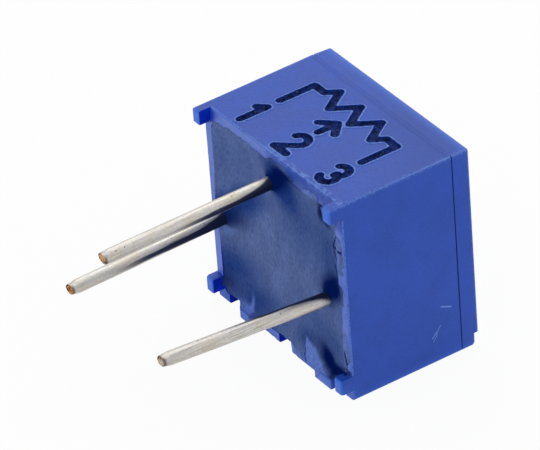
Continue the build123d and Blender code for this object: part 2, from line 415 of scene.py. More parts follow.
def new_group(name, inputs, outputs):
    """An empty shader group, with its inputs by name and its output node. An input is a name, type and default."""
    group = bpy.data.node_groups.new(name, "ShaderNodeTree")
    for label, kind, default in inputs:
        socket = group.interface.new_socket(label, in_out="INPUT", socket_type=kind)
        if default is not None:
            socket.default_value = default
    for label, kind in outputs:
        group.interface.new_socket(label, in_out="OUTPUT", socket_type=kind)
    into = {socket.name: Signal(group, socket) for socket in group.nodes.new("NodeGroupInput").outputs}
    return group, into, group.nodes.new("NodeGroupOutput")


def place_group(tree, name, values):
    """One of the shared groups, placed in a tree, as its outputs by name."""
    made = node(tree, "ShaderNodeGroup", values, node_tree=bpy.data.node_groups[name])
    return {socket.name: Signal(tree, socket) for socket in made.outputs}


def make_place_group():
    """Object coordinates in millimetres."""
    group, _, out = new_group("Millimetres", [], [("Vector", VECTOR)])
    coordinate = Signal(group, node(group, "ShaderNodeTexCoord").outputs["Object"])
    feed(group, out.inputs["Vector"], vector_sum("SCALE", coordinate, {"Scale": WORK_SCALE}))


def make_grain_group():
    """Uneven moulded or cast surface: a broad mottle and a fine grain."""
    group, into, out = new_group(
        "Cast grain",
        [("Vector", VECTOR, None), ("Mottle scale", FLOAT, 0.9), ("Grain scale", FLOAT, 18.0)],
        [("Mottle", FLOAT), ("Grain", FLOAT)])
    feed(group, out.inputs["Mottle"], noise_at(into["Vector"], into["Mottle scale"], 4.0, 0.6))
    feed(group, out.inputs["Grain"], noise_at(into["Vector"], into["Grain scale"], 3.0, 0.65))


def make_scratch_group():
    """A short pale scratch: a soft line between two points."""
    group, into, out = new_group(
        "Scratch",
        [("Vector", VECTOR, None), ("Start", VECTOR, None), ("End", VECTOR, None), ("Width", FLOAT, 0.03)],
        [("Mask", FLOAT)])
    run = vector_sum("SUBTRACT", into["End"], {1: into["Start"]})
    reach = vector_sum("SUBTRACT", into["Vector"], {1: into["Start"]})
    along = vector_sum("DOT_PRODUCT", reach, {1: run}, "Value")
    share = along.sum("DIVIDE", along, vector_sum("DOT_PRODUCT", run, {1: run}, "Value"), clamp=True)
    nearest = vector_sum("SCALE", run, {"Scale": share})
    gap = vector_sum("DISTANCE", reach, {1: nearest}, "Value")
    feed(group, out.inputs["Mask"], gap.ramp(into["Width"], 0.0))


def make_edge_group():
    """Wear and painted highlight along the body's outer edges: high where two of the box's faces are near."""
    group, into, out = new_group("Edge wear", [("Vector", VECTOR, None), ("Reach", FLOAT, 0.07)], [("Mask", FLOAT)])
    x, y, z = axes_of(into["Vector"])
    gaps = HOUSING_HIGH.y - abs(y), HOUSING_HIGH.z - abs(z), HOUSING_HIGH.x - x
    side, top, front = ((gap / into["Reach"]).ramp(1.0, 0.25) for gap in gaps)
    feed(group, out.inputs["Mask"], (side * top).most(side * front).most(top * front))


def cast_grain(place, mottle_scale, grain_scale):
    """The mottle and the grain at a place."""
    made = place_group(place.tree, "Cast grain", {
        "Vector": place, "Mottle scale": mottle_scale, "Grain scale": grain_scale})
    return made["Mottle"], made["Grain"]


def edge_wear_and_highlight(place, reach):
    """The wear and painted highlight at a place, within a reach of the edges."""
    return place_group(place.tree, "Edge wear", {"Vector": place, "Reach": reach})["Mask"]


def new_material(name):
    """A material with a Principled shader, with that shader and the place in millimetres."""
    material = bpy.data.materials.new(name)
    material.use_nodes = True
    tree = material.node_tree
    tree.nodes.clear()
    shader = tree.nodes.new("ShaderNodeBsdfPrincipled")
    node(tree, "ShaderNodeOutputMaterial", {"Surface": shader.outputs[0]})
    return material, shader, place_group(tree, "Millimetres", {})["Vector"]


def set_shader(tree, shader, **values):
    """Sets or links the shader's sockets, named with underscores for spaces."""
    for key, value in values.items():
        feed(tree, shader.inputs[key.replace("_", " ")], value)


class PLACE:
    """Where a layer of the housing's finish starts and is full, or a band's middle, half width and soft edge."""
    TOP = HOUSING_HIGH.z - 0.10, HOUSING_HIGH.z - 0.04
    TOP_EDGE = 0.0, 0.02
    FAR_CORNER = 3.2, 5.2
    INSIDE = 0.004, 0.03
    PAD_BAND = PAD_X, 0.04, 0.02
    PADS = WALL_INNER_LOW + 0.1, WALL_INNER_LOW
    RUB_BAND = RIM_X + 0.030, 0.045, 0.01
    UNDER_TOP_LEAD = WALL_INNER_TOP - 0.3, WALL_INNER_TOP - 0.6
    TOP_LEFT = -0.2, 0.6
    LOW_LEFT_Y = 0.2, 1.2
    LOW_LEFT_Z = -2.4, -2.9
    TOP_FEET = HOUSING_HIGH.z - FOOT_HEIGHT - 0.03, HOUSING_HIGH.z - FOOT_HEIGHT
    LOW_FEET = HOUSING_LOW.z + LOW_FOOT_RAISE + FOOT_HEIGHT / 2, FOOT_HEIGHT / 2, 0.03
    LEFT_FEET = 2.2, 2.6
    RIGHT_FEET = -2.8, -2.95
    FOOT = FOOT_THICKNESS + 0.02, FOOT_THICKNESS
    BESIDE_FOOT = FOOT_THICKNESS + 0.34, FOOT_THICKNESS + 0.08
    OVER_LOW_FOOT = -2.40, 0.05, 0.08
    FOOT_ENDS = 0.08, 0.02
    RIM_BAND = RIM_X + 0.03, 0.05, 0.01
    CREST_BAND = RIM_X + 0.045, 0.028, 0.015
    SCUFF_BAND = RIM_X + 0.11, 0.05, 0.09
    SCUFF = 1.6, -0.4
    PARTING = PARTING_X - PARTING_WIDTH / 2, PARTING_WIDTH / 2, 0.012
    CREASE = sum(TOP_STEP) / 2, 0.01, 0.06
    FRONT_GLOW = 4.38, 4.60
    FRONT_EDGE = 4.54, 4.68
    LIP = HOUSING_HIGH.z + 0.001, HOUSING_HIGH.z + 0.014
    BROW = HOUSING_HIGH.z - 0.03, HOUSING_HIGH.z + 0.004
    LOW_GLOW = HOUSING_LOW.z + 0.34, HOUSING_LOW.z
    CORNER_Z = HOUSING_LOW.z + 0.9, HOUSING_LOW.z + 0.1
    CORNER_X = 0.9, 0.0


class WINDOW:
    """Values of a noise at which a layer starts and at which it is full."""
    MOTTLE = 0.35, 0.65
    SPECK = 0.35, 0.70
    GRAIN_SHADE = 0.50, 0.30
    DUST = 0.68, 0.74
    RUB = 0.16, 0.46
    CREST = 0.30, 0.55
    SCUFF = 0.44, 0.60
    FOOT_END = 0.12, 0.40
    EDGE = 0.40, 0.62
    LIP = 0.28, 0.60
    MARK = 0.38, 0.60
    BROWN = 0.58, 0.68
    SPARK = 0.42, 0.34
    RESIN = 0.35, 0.68
    RESIN_FLECK = 0.50, 0.72
    PORE = 0.48, 0.30
    STREAK = 0.36, 0.62
    PLATING = 0.56, 0.36
    WARMTH = 0.42, 0.66
    DIE_LINE = 0.62, 0.72
    PIT = 0.66, 0.74
    REFLECTION_AND_CUT_EDGE = 0.18, 0.40
    SMEAR = 0.56, 0.40
    TIP_EDGE = 0.62, 0.48
    SLOT_SHADE = 0.20, 0.60


class SHARE:
    """How much of what lies below a layer covers."""
    EVEN_BLUE = 0.55
    FAR_CORNER = 0.42
    DUST = 0.40
    LOW_RIM = 0.12
    BY_FOOT = 0.80
    RIM_CREST = 0.55
    SCUFF = 0.50
    CREASE = 0.22
    FRONT_STRIP = 0.03
    FRONT_GLOW = 0.32
    FRONT_EDGE = 0.20
    BROKEN_EDGE = 0.50
    WORN_AND_LIT_EDGE = 0.66
    LIP = 0.75
    LOW_GLOW = 0.40
    CORNER_GLOW = 0.50
    BROWN = 0.60
    SPARK = 0.50
    BROW = 0.80
    RESIN_FLECK = 0.34
    PORE = 0.55
    PLATING = 0.30
    DIE_LINE = 0.45
    PIT = 0.70
    REFLECTION_AND_CUT_EDGE = 0.95
    SMEAR = 0.80
    SLOT_SHADE = 0.50


class STAIN:
    """Fixed colours of stains and of the leads' painted reflection, and colours that multiply what lies below."""
    BROWNED = 0.055, 0.038, 0.024, 1.0
    FLECK = 1.9, 1.8, 1.5, 1.0
    PORE = 0.42, 0.48, 0.62, 1.0
    WARMTH = 1.0, 0.95, 0.86, 1.0
    DIE_LINE = 0.16, 0.15, 0.14, 1.0
    PIT = 0.10, 0.09, 0.08, 1.0
    # Painted reflection of the dark blue body on the leads, also the dark cut edge at a tip
    REFLECTION_AND_CUT_EDGE = 0.010, 0.021, 0.068, 1.0
    SMEAR = 0.060, 0.026, 0.008, 1.0


def blue_plastic(colours):
    """Moulded blue plastic: rubbed rim, feet and edges, pale lips round the strokes and a few scratches, with painted
    shade in hollows, in the crease and by the feet, and painted light on the foot ends, the edges and low down.
    """
    material, shader, place = new_material("blue_plastic")
    mottle, grain = cast_grain(place, 0.8, 8.0)
    cloud, fleck = cast_grain(place, 4.5, 15.0)
    x, y, z = axes_of(place)
    body, foot, worn = tint(colours.body), tint(colours.foot), tint(colours.worn)
    # A darker copy of the body's blue, used for painted shade
    deep = tint(colours.body, 0.6)
    light = (*(channel * 1.14 + 0.006 for channel in colours.body), 1.0)
    side_gap = HOUSING_HIGH.y - abs(y)
    on_top = z.ramp(*PLACE.TOP) * side_gap.ramp(*PLACE.TOP_EDGE)

    # Uneven blue, with more specks on the top, painted shade in the hollows of the grain, stronger on the top, and
    # painted shade darkening the top towards its far corner
    colour = blend(place.tree, mottle.ramp(*WINDOW.MOTTLE), tint(colours.body, 0.88), light)
    colour = colour.mix(SHARE.EVEN_BLUE, body)
    colour = colour.mix(fleck.ramp(*WINDOW.SPECK, smooth=False) * (on_top * 0.03 + 0.06), worn)
    # Painted shade in the hollows of the grain
    colour = colour.mix(grain.ramp(*WINDOW.GRAIN_SHADE) * (on_top * 0.20 + 0.08), deep)
    # Painted shade: the top darker towards its far corner
    colour = colour.mix(on_top * (x - y * 0.5).ramp(*PLACE.FAR_CORNER) * SHARE.FAR_CORNER, deep)
    colour = colour.mix(cloud.ramp(*WINDOW.DUST) * SHARE.DUST, tint(colours.body, 0.45))

    # Dull rim and pads, left off the top rim right of the top lead where the rim lies in shade, painted shade on the
    # rim by the feet, worn crest of the rim, and foot ends in a lighter blue as painted light
    inside = side_gap.least(HOUSING_HIGH.z - abs(z)).ramp(*PLACE.INSIDE)
    rubbed = (x.band(*PLACE.PAD_BAND) * z.ramp(*PLACE.PADS)).most(x.band(*PLACE.RUB_BAND))
    rubbed = rubbed * z.ramp(*PLACE.UNDER_TOP_LEAD).most(y.ramp(*PLACE.TOP_LEFT))
    rubbed = rubbed * (inside * cloud.ramp(*WINDOW.RUB))
    low_left = y.ramp(*PLACE.LOW_LEFT_Y) * z.ramp(*PLACE.LOW_LEFT_Z)
    low_rim = blend(place.tree, SHARE.LOW_RIM, body, foot)
    colour = colour.mix(rubbed, blend(place.tree, low_left, tint(colours.rim), low_rim))
    feet = z.ramp(*PLACE.TOP_FEET).most(z.band(*PLACE.LOW_FEET))
    on_rim = x.band(*PLACE.RIM_BAND)
    # Painted shade on the rim beside the top left foot
    beside = feet * y.ramp(*PLACE.LEFT_FEET) * inside * side_gap.ramp(*PLACE.BESIDE_FOOT) * on_rim
    colour = colour.mix(beside * SHARE.BY_FOOT, tint(colours.shade_blue, 0.8))
    # Painted shade in the crevice over the low right foot
    over = z.band(*PLACE.OVER_LOW_FOOT) * y.ramp(*PLACE.RIGHT_FEET) * on_rim * inside
    colour = colour.mix(over * SHARE.BY_FOOT, tint(colours.shade_blue, 0.3))
    feet = feet * side_gap.ramp(*PLACE.FOOT)
    crest = x.band(*PLACE.CREST_BAND) * (1.0 - inside.most(feet)) * fleck.ramp(*WINDOW.CREST)
    colour = colour.mix(crest * SHARE.RIM_CREST, worn)
    scuffed = x.band(*PLACE.SCUFF_BAND) * cloud.ramp(*WINDOW.SCUFF) * (on_top * y.ramp(*PLACE.SCUFF))
    colour = colour.mix(scuffed * SHARE.SCUFF, worn)
    # Painted light: the foot ends in a lighter blue
    colour = colour.mix(x.ramp(*PLACE.FOOT_ENDS) * cloud.ramp(*WINDOW.FOOT_END), foot)

    # The line where the mould halves met, a soft crease on the top with painted shade, the strip in front of it,
    # painted light towards the front of the top, and a paler band at its front edge
    line = x.band(*PLACE.PARTING) * on_top.ramp(1.0, 0.0, smooth=False)
    colour = colour.mix(line, tint(colours.body, 0.72))
    stepped = on_top * x.ramp(*TOP_STEP, smooth=False)
    # Painted shade in the soft crease on the top
    colour = colour.mix(on_top * x.band(*PLACE.CREASE) * SHARE.CREASE, deep)
    colour = colour.mix(stepped * SHARE.FRONT_STRIP, worn)
    # Painted light towards the front of the top
    colour = colour.mix(on_top * x.ramp(*PLACE.FRONT_GLOW) * SHARE.FRONT_GLOW, foot)
    colour = colour.mix(on_top * x.ramp(*PLACE.FRONT_EDGE) * SHARE.FRONT_EDGE, worn)

    # Wear with painted highlight on the edges, broken up by the grain, scratches, lips, and painted blue light low
    # down and at the low corner by the leads
    broken = edge_wear_and_highlight(place, 0.13) * fleck.ramp(*WINDOW.EDGE)
    wear_with_highlight = (broken * SHARE.BROKEN_EDGE).most(edge_wear_and_highlight(place, 0.055) * SHARE.WORN_AND_LIT_EDGE)
    for start, end, width in SCRATCHES:
        start, end = ((along, -HOUSING_HIGH.y, up) for along, up in (start, end))
        scratch = place_group(place.tree, "Scratch", {"Vector": place, "Start": start, "End": end, "Width": width})
        wear_with_highlight = wear_with_highlight.most(scratch["Mask"])
    colour = colour.mix(wear_with_highlight, worn)
    colour = colour.mix(z.ramp(*PLACE.LIP) * fleck.ramp(*WINDOW.LIP) * SHARE.LIP, worn)
    corner = z.ramp(*PLACE.CORNER_Z) * x.ramp(*PLACE.CORNER_X)
    colour = colour.mix((z.ramp(*PLACE.LOW_GLOW) * SHARE.LOW_GLOW).most(corner * SHARE.CORNER_GLOW), foot)
    relief = fleck * 0.7 + grain + stepped * 4.0
    set_shader(place.tree, shader, Base_Color=colour, Roughness=mottle.between(0.34, 0.46), IOR=1.5,
               Specular_IOR_Level=0.33, Normal=bump(relief, 0.26, 0.022))
    return material


def shaded_plastic(colours):
    """The same plastic on faces inside the rim, as a shaded copy: painted shade in a deeper, clearer blue for faces
    that see little but more blue plastic.
    """
    material, shader, place = new_material("shaded_plastic")
    mottle, grain = cast_grain(place, 2.0, 16.0)
    colour = blend(place.tree, mottle.ramp(*WINDOW.MOTTLE), tint(colours.shade_blue, 0.7), tint(colours.shade_blue))
    set_shader(place.tree, shader, Base_Color=colour, Roughness=0.5, IOR=1.5, Specular_IOR_Level=0.06,
               Normal=bump(grain, 0.15, 0.012))
    return material


def burnt_mark(colours):
    """Floor and flanks of the engraved strokes: dark, uneven and a little browned, with pale specks painted as glints.
    """
    material, shader, place = new_material("burnt_mark")
    mottle, grain = cast_grain(place, 6.5, 13.0)
    height = axes_of(place)[2]
    colour = blend(place.tree, mottle.ramp(*WINDOW.MARK), tint(colours.char), tint(colours.mark))
    colour = colour.mix(grain.ramp(*WINDOW.BROWN) * SHARE.BROWN, STAIN.BROWNED)
    # Painted glints: pale specks in the strokes
    colour = colour.mix(grain.ramp(*WINDOW.SPARK) * SHARE.SPARK, tint(colours.worn, 0.7))
    colour = colour.mix(height.ramp(*PLACE.BROW) * SHARE.BROW, tint(colours.body))
    set_shader(place.tree, shader, Base_Color=colour, Roughness=0.55, IOR=1.5, Specular_IOR_Level=0.07,
               Normal=bump(grain, 0.5, 0.02))
    return material


def potting_resin(colours):
    """Slate resin with painted shade in hollows and over broad parts of the well, painted shadow, nearly black, round
    the leads and in the deepest places, dark cracks, and a paler film with a painted highlight.
    """
    material, shader, place = new_material("potting_resin")
    tree = place.tree
    mottle, grain = cast_grain(stretched(place, 1.0, 1.5, 0.75), 1.3, 9.0)
    colour = blend(tree, mottle.ramp(*WINDOW.RESIN), tint(colours.resin, 0.90), tint(colours.resin, 1.08))
    colour = colour.mix(painted(tree, SHADE), tint(colours.resin_shade))
    colour = colour.mix(painted(tree, PALE), tint(colours.resin_film_and_highlight))
    fleck = grain.ramp(*WINDOW.RESIN_FLECK) * SHARE.RESIN_FLECK
    colour = colour.mix(fleck, colour.mix(1.0, STAIN.FLECK, "MULTIPLY"))
    pore = grain.ramp(*WINDOW.PORE) * SHARE.PORE
    colour = colour.mix(pore, colour.mix(1.0, STAIN.PORE, "MULTIPLY"))
    colour = colour.mix(painted(tree, SHADOW_AND_CRACKS), tint(colours.resin_shadow))
    set_shader(tree, shader, Base_Color=colour, Roughness=mottle.between(0.40, 0.52), IOR=1.5,
               Specular_IOR_Level=0.004, Normal=bump(grain, 0.5, 0.02))
    return material


def tinned_wire(colours):
    """Drawn, tinned wire with lengthwise streaks, thin dark die lines, a few dull pits, a painted dark blue reflection
    along its underside and a dark cut edge at the tip.
    """
    material, shader, place = new_material("tinned_wire")
    tree = place.tree
    streak = noise_at(stretched(place, 0.30, 8.0, 8.0), 1.7, 5.0, 0.66)
    line = noise_at(stretched(place, 0.55, 16.0, 16.0), 1.1, 2.0)
    cloud, pit, plating = noise_at(place, 1.4, 3.0), noise_at(place, 8.0, 3.0), noise_at(place, 13.0, 2.0)
    colour = blend(tree, streak.ramp(*WINDOW.STREAK), tint(colours.tin, 0.82), tint(colours.tin, 1.10))
    colour = colour.mix(plating.ramp(*WINDOW.PLATING) * SHARE.PLATING, tint(colours.tin, 0.62))
    colour = colour.mix(cloud.ramp(*WINDOW.WARMTH), colour.mix(1.0, STAIN.WARMTH, "MULTIPLY"))
    dull = line.ramp(*WINDOW.DIE_LINE) * SHARE.DIE_LINE
    colour = colour.mix(dull, STAIN.DIE_LINE)
    colour = colour.mix(pit.ramp(*WINDOW.PIT) * SHARE.PIT, STAIN.PIT)
    # Painted reflection of the dark blue body along the underside, and the dark cut edge near the tip
    tarnish = painted(tree, REFLECTION_AND_CUT_EDGE) * streak.ramp(*WINDOW.REFLECTION_AND_CUT_EDGE)
    colour = colour.mix(tarnish * SHARE.REFLECTION_AND_CUT_EDGE, STAIN.REFLECTION_AND_CUT_EDGE)
    relief = streak - dull * 0.5 + plating * 0.35
    set_shader(tree, shader, Base_Color=colour, Metallic=1.0, Roughness=streak.between(0.34, 0.50),
               Normal=bump(relief, 0.3, 0.014))
    return material


def bare_copper(colours):
    """Sheared copper at a lead's end, with dark smears."""
    material, shader, place = new_material("bare_copper")
    tree = place.tree
    smear = noise_at(place, 7.0, 4.0, 0.7)
    colour = blend(tree, painted(tree, BARE), tint(colours.tin), tint(colours.copper))
    edge = painted(tree, REFLECTION_AND_CUT_EDGE) * smear.ramp(*WINDOW.TIP_EDGE)
    colour = colour.mix((smear.ramp(*WINDOW.SMEAR) * SHARE.SMEAR).most(edge), STAIN.SMEAR)
    set_shader(tree, shader, Base_Color=colour, Metallic=1.0, Roughness=0.5, Normal=bump(smear, 0.5, 0.03))
    return material


def ivory_plastic(colours, front):
    """Moulded adjuster: pale on its face and darker down in the slot and the gap round it, as painted shade."""
    material, shader, place = new_material("ivory_plastic")
    mottle, grain = cast_grain(place, 1.6, 12.0)
    along = axes_of(place)[0]
    colour = blend(place.tree, mottle.ramp(*WINDOW.MOTTLE), tint(colours.ivory, 0.94), tint(colours.ivory, 1.04))
    # Painted shade deeper in the slot
    start, full = (front - depth for depth in SLOT_SHADE_DEPTH)
    slot_shade = along.ramp(start, full, smooth=False) * grain.ramp(*WINDOW.SLOT_SHADE)
    colour = colour.mix(slot_shade * SHARE.SLOT_SHADE, tint(colours.ivory, 0.45))
    set_shader(place.tree, shader, Base_Color=colour, Roughness=grain.between(0.38, 0.52),
               Normal=bump(grain, 0.12, 0.01))
    return material


def plain_finish(name, colour, roughness, metallic=0.0, contrast=0.12):
    """A finish with a mottle in its colour and roughness and a fine grain, for the pieces inside."""
    material, shader, place = new_material(name)
    mottle, grain = cast_grain(place, 1.6, 14.0)
    low, high = tint(colour, 1.0 - contrast), tint(colour, 1.0 + contrast)
    mixed = blend(place.tree, mottle.ramp(*WINDOW.MOTTLE), low, high)
    set_shader(place.tree, shader, Base_Color=mixed, Roughness=grain.between(roughness - 0.06, roughness + 0.06),
               Metallic=metallic, Normal=bump(grain, 0.1, 0.01))
    return material


def arc(centre, radius, start, end, steps=10):
    """Points on an arc, with angles in degrees."""
    turns = [math.radians(start + (end - start) * step / steps) for step in range(steps + 1)]
    return [(centre[0] + radius * math.cos(turn), centre[1] + radius * math.sin(turn)) for turn in turns]


def digit_strokes(digit):
    """Strokes of a terminal number in a box one unit high, as points right and up from its middle."""
    if digit == 1:
        return [[(-0.20, 0.27), (0.04, 0.50), (0.04, -0.50)]]
    if digit == 2:
        return [arc((0.0, 0.22), 0.28, 165, -35) + [(-0.30, -0.50), (0.32, -0.50)]]
    return [arc((-0.02, 0.24), 0.26, 150, -80) + arc((-0.02, -0.22), 0.28, 80, -150)]


class SYMBOL:
    """Places on the marked face, along X and across, and the symbol's sizes."""
    DIGIT_HEIGHT = 0.92
    DIGIT_X = 1.16
    FOOT_X = 2.08
    LINE_X = 3.26
    WIDE = 1.98
    TRACK_HALF = 1.50
    SWING = 0.36
    TEETH = 6
    SHAFT = (2.00, 0.0), (2.62, 0.0)
    ARROW_HEAD = (2.28, 0.40), (2.66, 0.0), (2.28, -0.40)


def ripples(place, layers):
    """Noise at a place, summed over layers of a height and a scale."""
    return sum(height * noise.noise(place * scale) for height, scale in layers)


def symbol_strokes():
    """Strokes of the variable-resistor symbol and its terminal numbers, as X and Y on the marked face."""
    strokes = []
    for digit, middle in ((1, SYMBOL.WIDE), (2, 0.0), (3, -SYMBOL.WIDE)):
        for stroke in digit_strokes(digit):
            strokes.append([
                (SYMBOL.DIGIT_X + up * SYMBOL.DIGIT_HEIGHT, middle - right * SYMBOL.DIGIT_HEIGHT)
                for right, up in stroke])
    pitch = 2 * SYMBOL.TRACK_HALF / SYMBOL.TEETH
    half = [(SYMBOL.FOOT_X, SYMBOL.WIDE), (SYMBOL.LINE_X, SYMBOL.WIDE), (SYMBOL.LINE_X, SYMBOL.TRACK_HALF)]
    track = list(half)
    for tooth in range(SYMBOL.TEETH):
        side = SYMBOL.SWING if tooth % 2 == 0 else -SYMBOL.SWING
        track.append((SYMBOL.LINE_X + side, SYMBOL.TRACK_HALF - (tooth + 0.5) * pitch))
    track += [(along, -across) for along, across in reversed(half)]
    return [*strokes, track, SYMBOL.SHAFT, SYMBOL.ARROW_HEAD]


def stroke_solid(name, radius, voxel, ragged, finish):
    """Round-ended tubes along every stroke at no height, fused into one solid with a ragged surface."""
    curve = bpy.data.curves.new(name, "CURVE")
    curve.dimensions = "3D"
    curve.bevel_depth = radius
    curve.bevel_resolution = 4
    curve.use_fill_caps = True
    strokes = symbol_strokes()
    for stroke in strokes:
        for ends in zip(stroke, stroke[1:]):
            spline = curve.splines.new("POLY")
            spline.points.add(1)
            for point, (x, y) in zip(spline.points, ends):
                point.co = (x, y, 0.0, 1.0)
    solid = bpy.data.objects.new(name, curve)
    bpy.context.scene.collection.objects.link(solid)
    activate(solid)
    bpy.ops.object.convert(target="MESH")
    solid = bpy.context.view_layer.objects.active
    balls = []
    for stroke in strokes:
        for x, y in stroke:
            bpy.ops.mesh.primitive_ico_sphere_add(subdivisions=3, radius=radius, location=(x, y, 0.0))
            balls.append(bpy.context.view_layer.objects.active)
    activate(solid)
    for ball in balls:
        ball.select_set(True)
    bpy.ops.object.join()
    apply_modifier(solid, "REMESH", mode="VOXEL", voxel_size=voxel)
    cloud = bpy.data.textures.new(name + "_ragged", "CLOUDS")
    cloud.noise_scale = RAGGED_SCALE
    cloud.noise_depth = 2
    apply_modifier(solid, "DISPLACE", texture=cloud, strength=ragged, mid_level=0.5, texture_coords="LOCAL")
    apply_modifier(solid, "SMOOTH", factor=0.5, iterations=3)
    solid.data.materials.clear()
    solid.data.materials.append(finish)
    return solid


def raise_solid(solid, rise, squash=1.0):
    """Squashes a solid in height, then lifts it, in its mesh."""
    activate(solid)
    bpy.ops.transform.resize(value=(1.0, 1.0, squash))
    bpy.ops.transform.translate(value=(0.0, 0.0, rise))
    bpy.ops.object.transform_apply(location=True, rotation=False, scale=True)


def combine(piece, tool, operation):
    """Adds or cuts a tool solid and removes it."""
    apply_modifier(piece, "BOOLEAN", operation=operation, solver="EXACT", material_mode="TRANSFER", object=tool)
    bpy.data.objects.remove(tool)


def select_faces(piece, test):
    """Selects the faces that pass a test, in a piece that is open in edit mode."""
    mesh = bmesh.from_edit_mesh(piece.data)
    for face in mesh.faces:
        face.select_set(test(face))
    bmesh.update_edit_mesh(piece.data)


def move_vertices(piece, move):
    """Hands every vertex to a function that moves it, in a piece that is open in edit mode."""
    mesh = bmesh.from_edit_mesh(piece.data)
    for vertex in mesh.verts:
        move(vertex)
    bmesh.update_edit_mesh(piece.data)


def soften_edges(piece, width, test):
    """Rounds the sharp edges that pass a test of their middle."""
    mesh = edit(piece)
    bpy.ops.mesh.select_mode(type="EDGE")
    for edge in mesh.edges:
        middle = (edge.verts[0].co + edge.verts[1].co) / 2
        sharp = edge.is_manifold and edge.calc_face_angle() > SHARP_ANGLE
        edge.select_set(sharp and test(middle))
    bmesh.update_edit_mesh(piece.data)
    bpy.ops.mesh.bevel(offset=width, segments=2, profile=0.5, affect="EDGES", clamp_overlap=True)
    close_edit()


def drop_slivers(piece):
    """Cuts every face into triangles and removes those with no area and those left hanging."""
    edit(piece)
    for last in (False, False, True):
        bpy.ops.mesh.select_all(action="SELECT")
        bpy.ops.mesh.quads_convert_to_tris(quad_method="BEAUTY", ngon_method="BEAUTY")
        if not last:
            bpy.ops.mesh.dissolve_degenerate(threshold=SLIVER)
    bpy.ops.mesh.select_all(action="DESELECT")
    select_faces(piece, lambda face: any(edge.is_boundary for edge in face.edges))
    bpy.ops.mesh.delete(type="FACE")
    close_edit()


def lead_ends(pin):
    """Where a lead leaves the potting and where it ends, in work units."""
    axis = Vector(pin[PIN.AXIS])
    half = axis * pin[PIN.SIZES][PIN.LENGTH] / 2
    middle = Vector(pin[PIN.PLACE]) * WORK_SCALE
    return middle - half, middle + half


class TRIMMER_OT_housing(bpy.types.Operator):
    """Models the moulded housing, with its ragged rim, softened edges and engraved symbol"""
    bl_idname = "trimmer.housing"
    bl_label = "Housing"

    def execute(self, context):
        sizes = context.scene.trimmer_sizes
        colours = context.scene.trimmer_colours
        shell = copy_of_node("housing_shell", "housing")
        blue = blue_plastic(colours)
        shell.data.materials.append(blue)
        shell.data.materials.append(shaded_plastic(colours))
        for vertex in shell.data.vertices:
            if abs(vertex.co.x - PARTING_X) < 2 * PARTING_WIDTH and HOUSING_HIGH.z - TOP_SKIN < vertex.co.z:
                vertex.co.z = max(vertex.co.z, HOUSING_HIGH.z - TOP_GROOVE_DEPTH)
        self.engrave(shell, sizes, blue, burnt_mark(colours))
        self.rough_rim(shell)
        soft = work(sizes.edge_softness)
        pads, rim = PAD_X - NEAR, RIM_X - NEAR
        soften_edges(shell, 2.0 * soft, lambda at: at.x < pads)
        soften_edges(shell, soft, lambda at: pads <= at.x < rim and abs(at.y) < PAD_END)
        soften_edges(
            shell, soft, lambda at: at.x > HOUSING_HIGH.x - NEAR and max(abs(at.y), abs(at.z)) < FRONT_HOLE_REACH)
        drop_slivers(shell)
        # Faces inside the rim that face away from the light take the shaded copy, as painted shade
        for face in shell.data.polygons:
            inward = face.normal.y * face.center.y + face.normal.z * face.center.z < -0.2
            lit = face.normal.x < -0.5 or face.normal.z > 0.5
            if face.material_index == 0 and face.center.x < SEAL_HIGH.x and inward and not lit:
                face.material_index = 1
        finish_piece(shell, "base", "blue_plastic", "housing")
        return {"FINISHED"}

    @staticmethod
    def engrave(shell, sizes, blue, burnt):
        """Raises a melted lip along every stroke, then cuts the stroke."""
        top = HOUSING_HIGH.z
        radius = work(sizes.stroke_width) / 2
        lip = stroke_solid("lip", radius + work(sizes.lip_width), voxel=0.030, ragged=0.030, finish=blue)
        raise_solid(lip, top, work(sizes.lip_height) / max(vertex.co.z for vertex in lip.data.vertices))
        combine(shell, lip, "UNION")
        groove = stroke_solid("groove", radius, voxel=0.022, ragged=0.034, finish=burnt)
        raise_solid(groove, top - work(sizes.stroke_depth) - min(vertex.co.z for vertex in groove.data.vertices))
        combine(shell, groove, "DIFFERENCE")

    @staticmethod
    def rough_rim(shell):
        """Cuts the rim's faces into short lengths and wears them back unevenly."""
        low, high = RIM_X - SLIVER, RIM_X + RIM_CHAMFER + SLIVER
        edit(shell)
        for axis, reach in ((1, HOUSING_HIGH.y), (2, HOUSING_HIGH.z)):
            plane = [0.0, 0.0, 0.0]
            plane[axis] = 1.0
            for step in range(1, RIM_CUTS):
                select_faces(
                    shell, lambda face: face.normal.x < -0.3 and low < face.calc_center_median().x < high)
                at = [share * reach * (2.0 * step / RIM_CUTS - 1.0) for share in plane]
                bpy.ops.mesh.bisect(plane_co=at, plane_no=plane)
                bpy.ops.mesh.select_all(action="DESELECT")

        def wear_back(vertex):
            if low < vertex.co.x < high:
                place = Vector((0.0, vertex.co.y, vertex.co.z))
                worn = RIM_WORN_SHARE + ripples(place, RIM_RIPPLES)
                straight = soft_step(*RIM_STRAIGHT_Y, vertex.co.y)
                vertex.co.x += RIM_WEAR * max(worn, 0.0) * (1.0 - RIM_STRAIGHT_SHARE * straight)

        move_vertices(shell, wear_back)
        close_edit()


def soft_step(low, high, value):
    """Zero at low, one at high and smooth between."""
    share = min(max((value - low) / (high - low), 0.0), 1.0)
    return share * share * (3.0 - 2.0 * share)


def patch(y, z, spot):
    """One at a spot's middle and zero past its edge. A spot is its Y, Z, two radii and turn in degrees."""
    middle_y, middle_z, radius_1, radius_2, degrees = spot
    turn = math.radians(degrees)
    across, up = y - middle_y, z - middle_z
    along = (across * math.cos(turn) + up * math.sin(turn)) / radius_1
    beside = (up * math.cos(turn) - across * math.sin(turn)) / radius_2
    return soft_step(1.0, 0.0, math.hypot(along, beside))


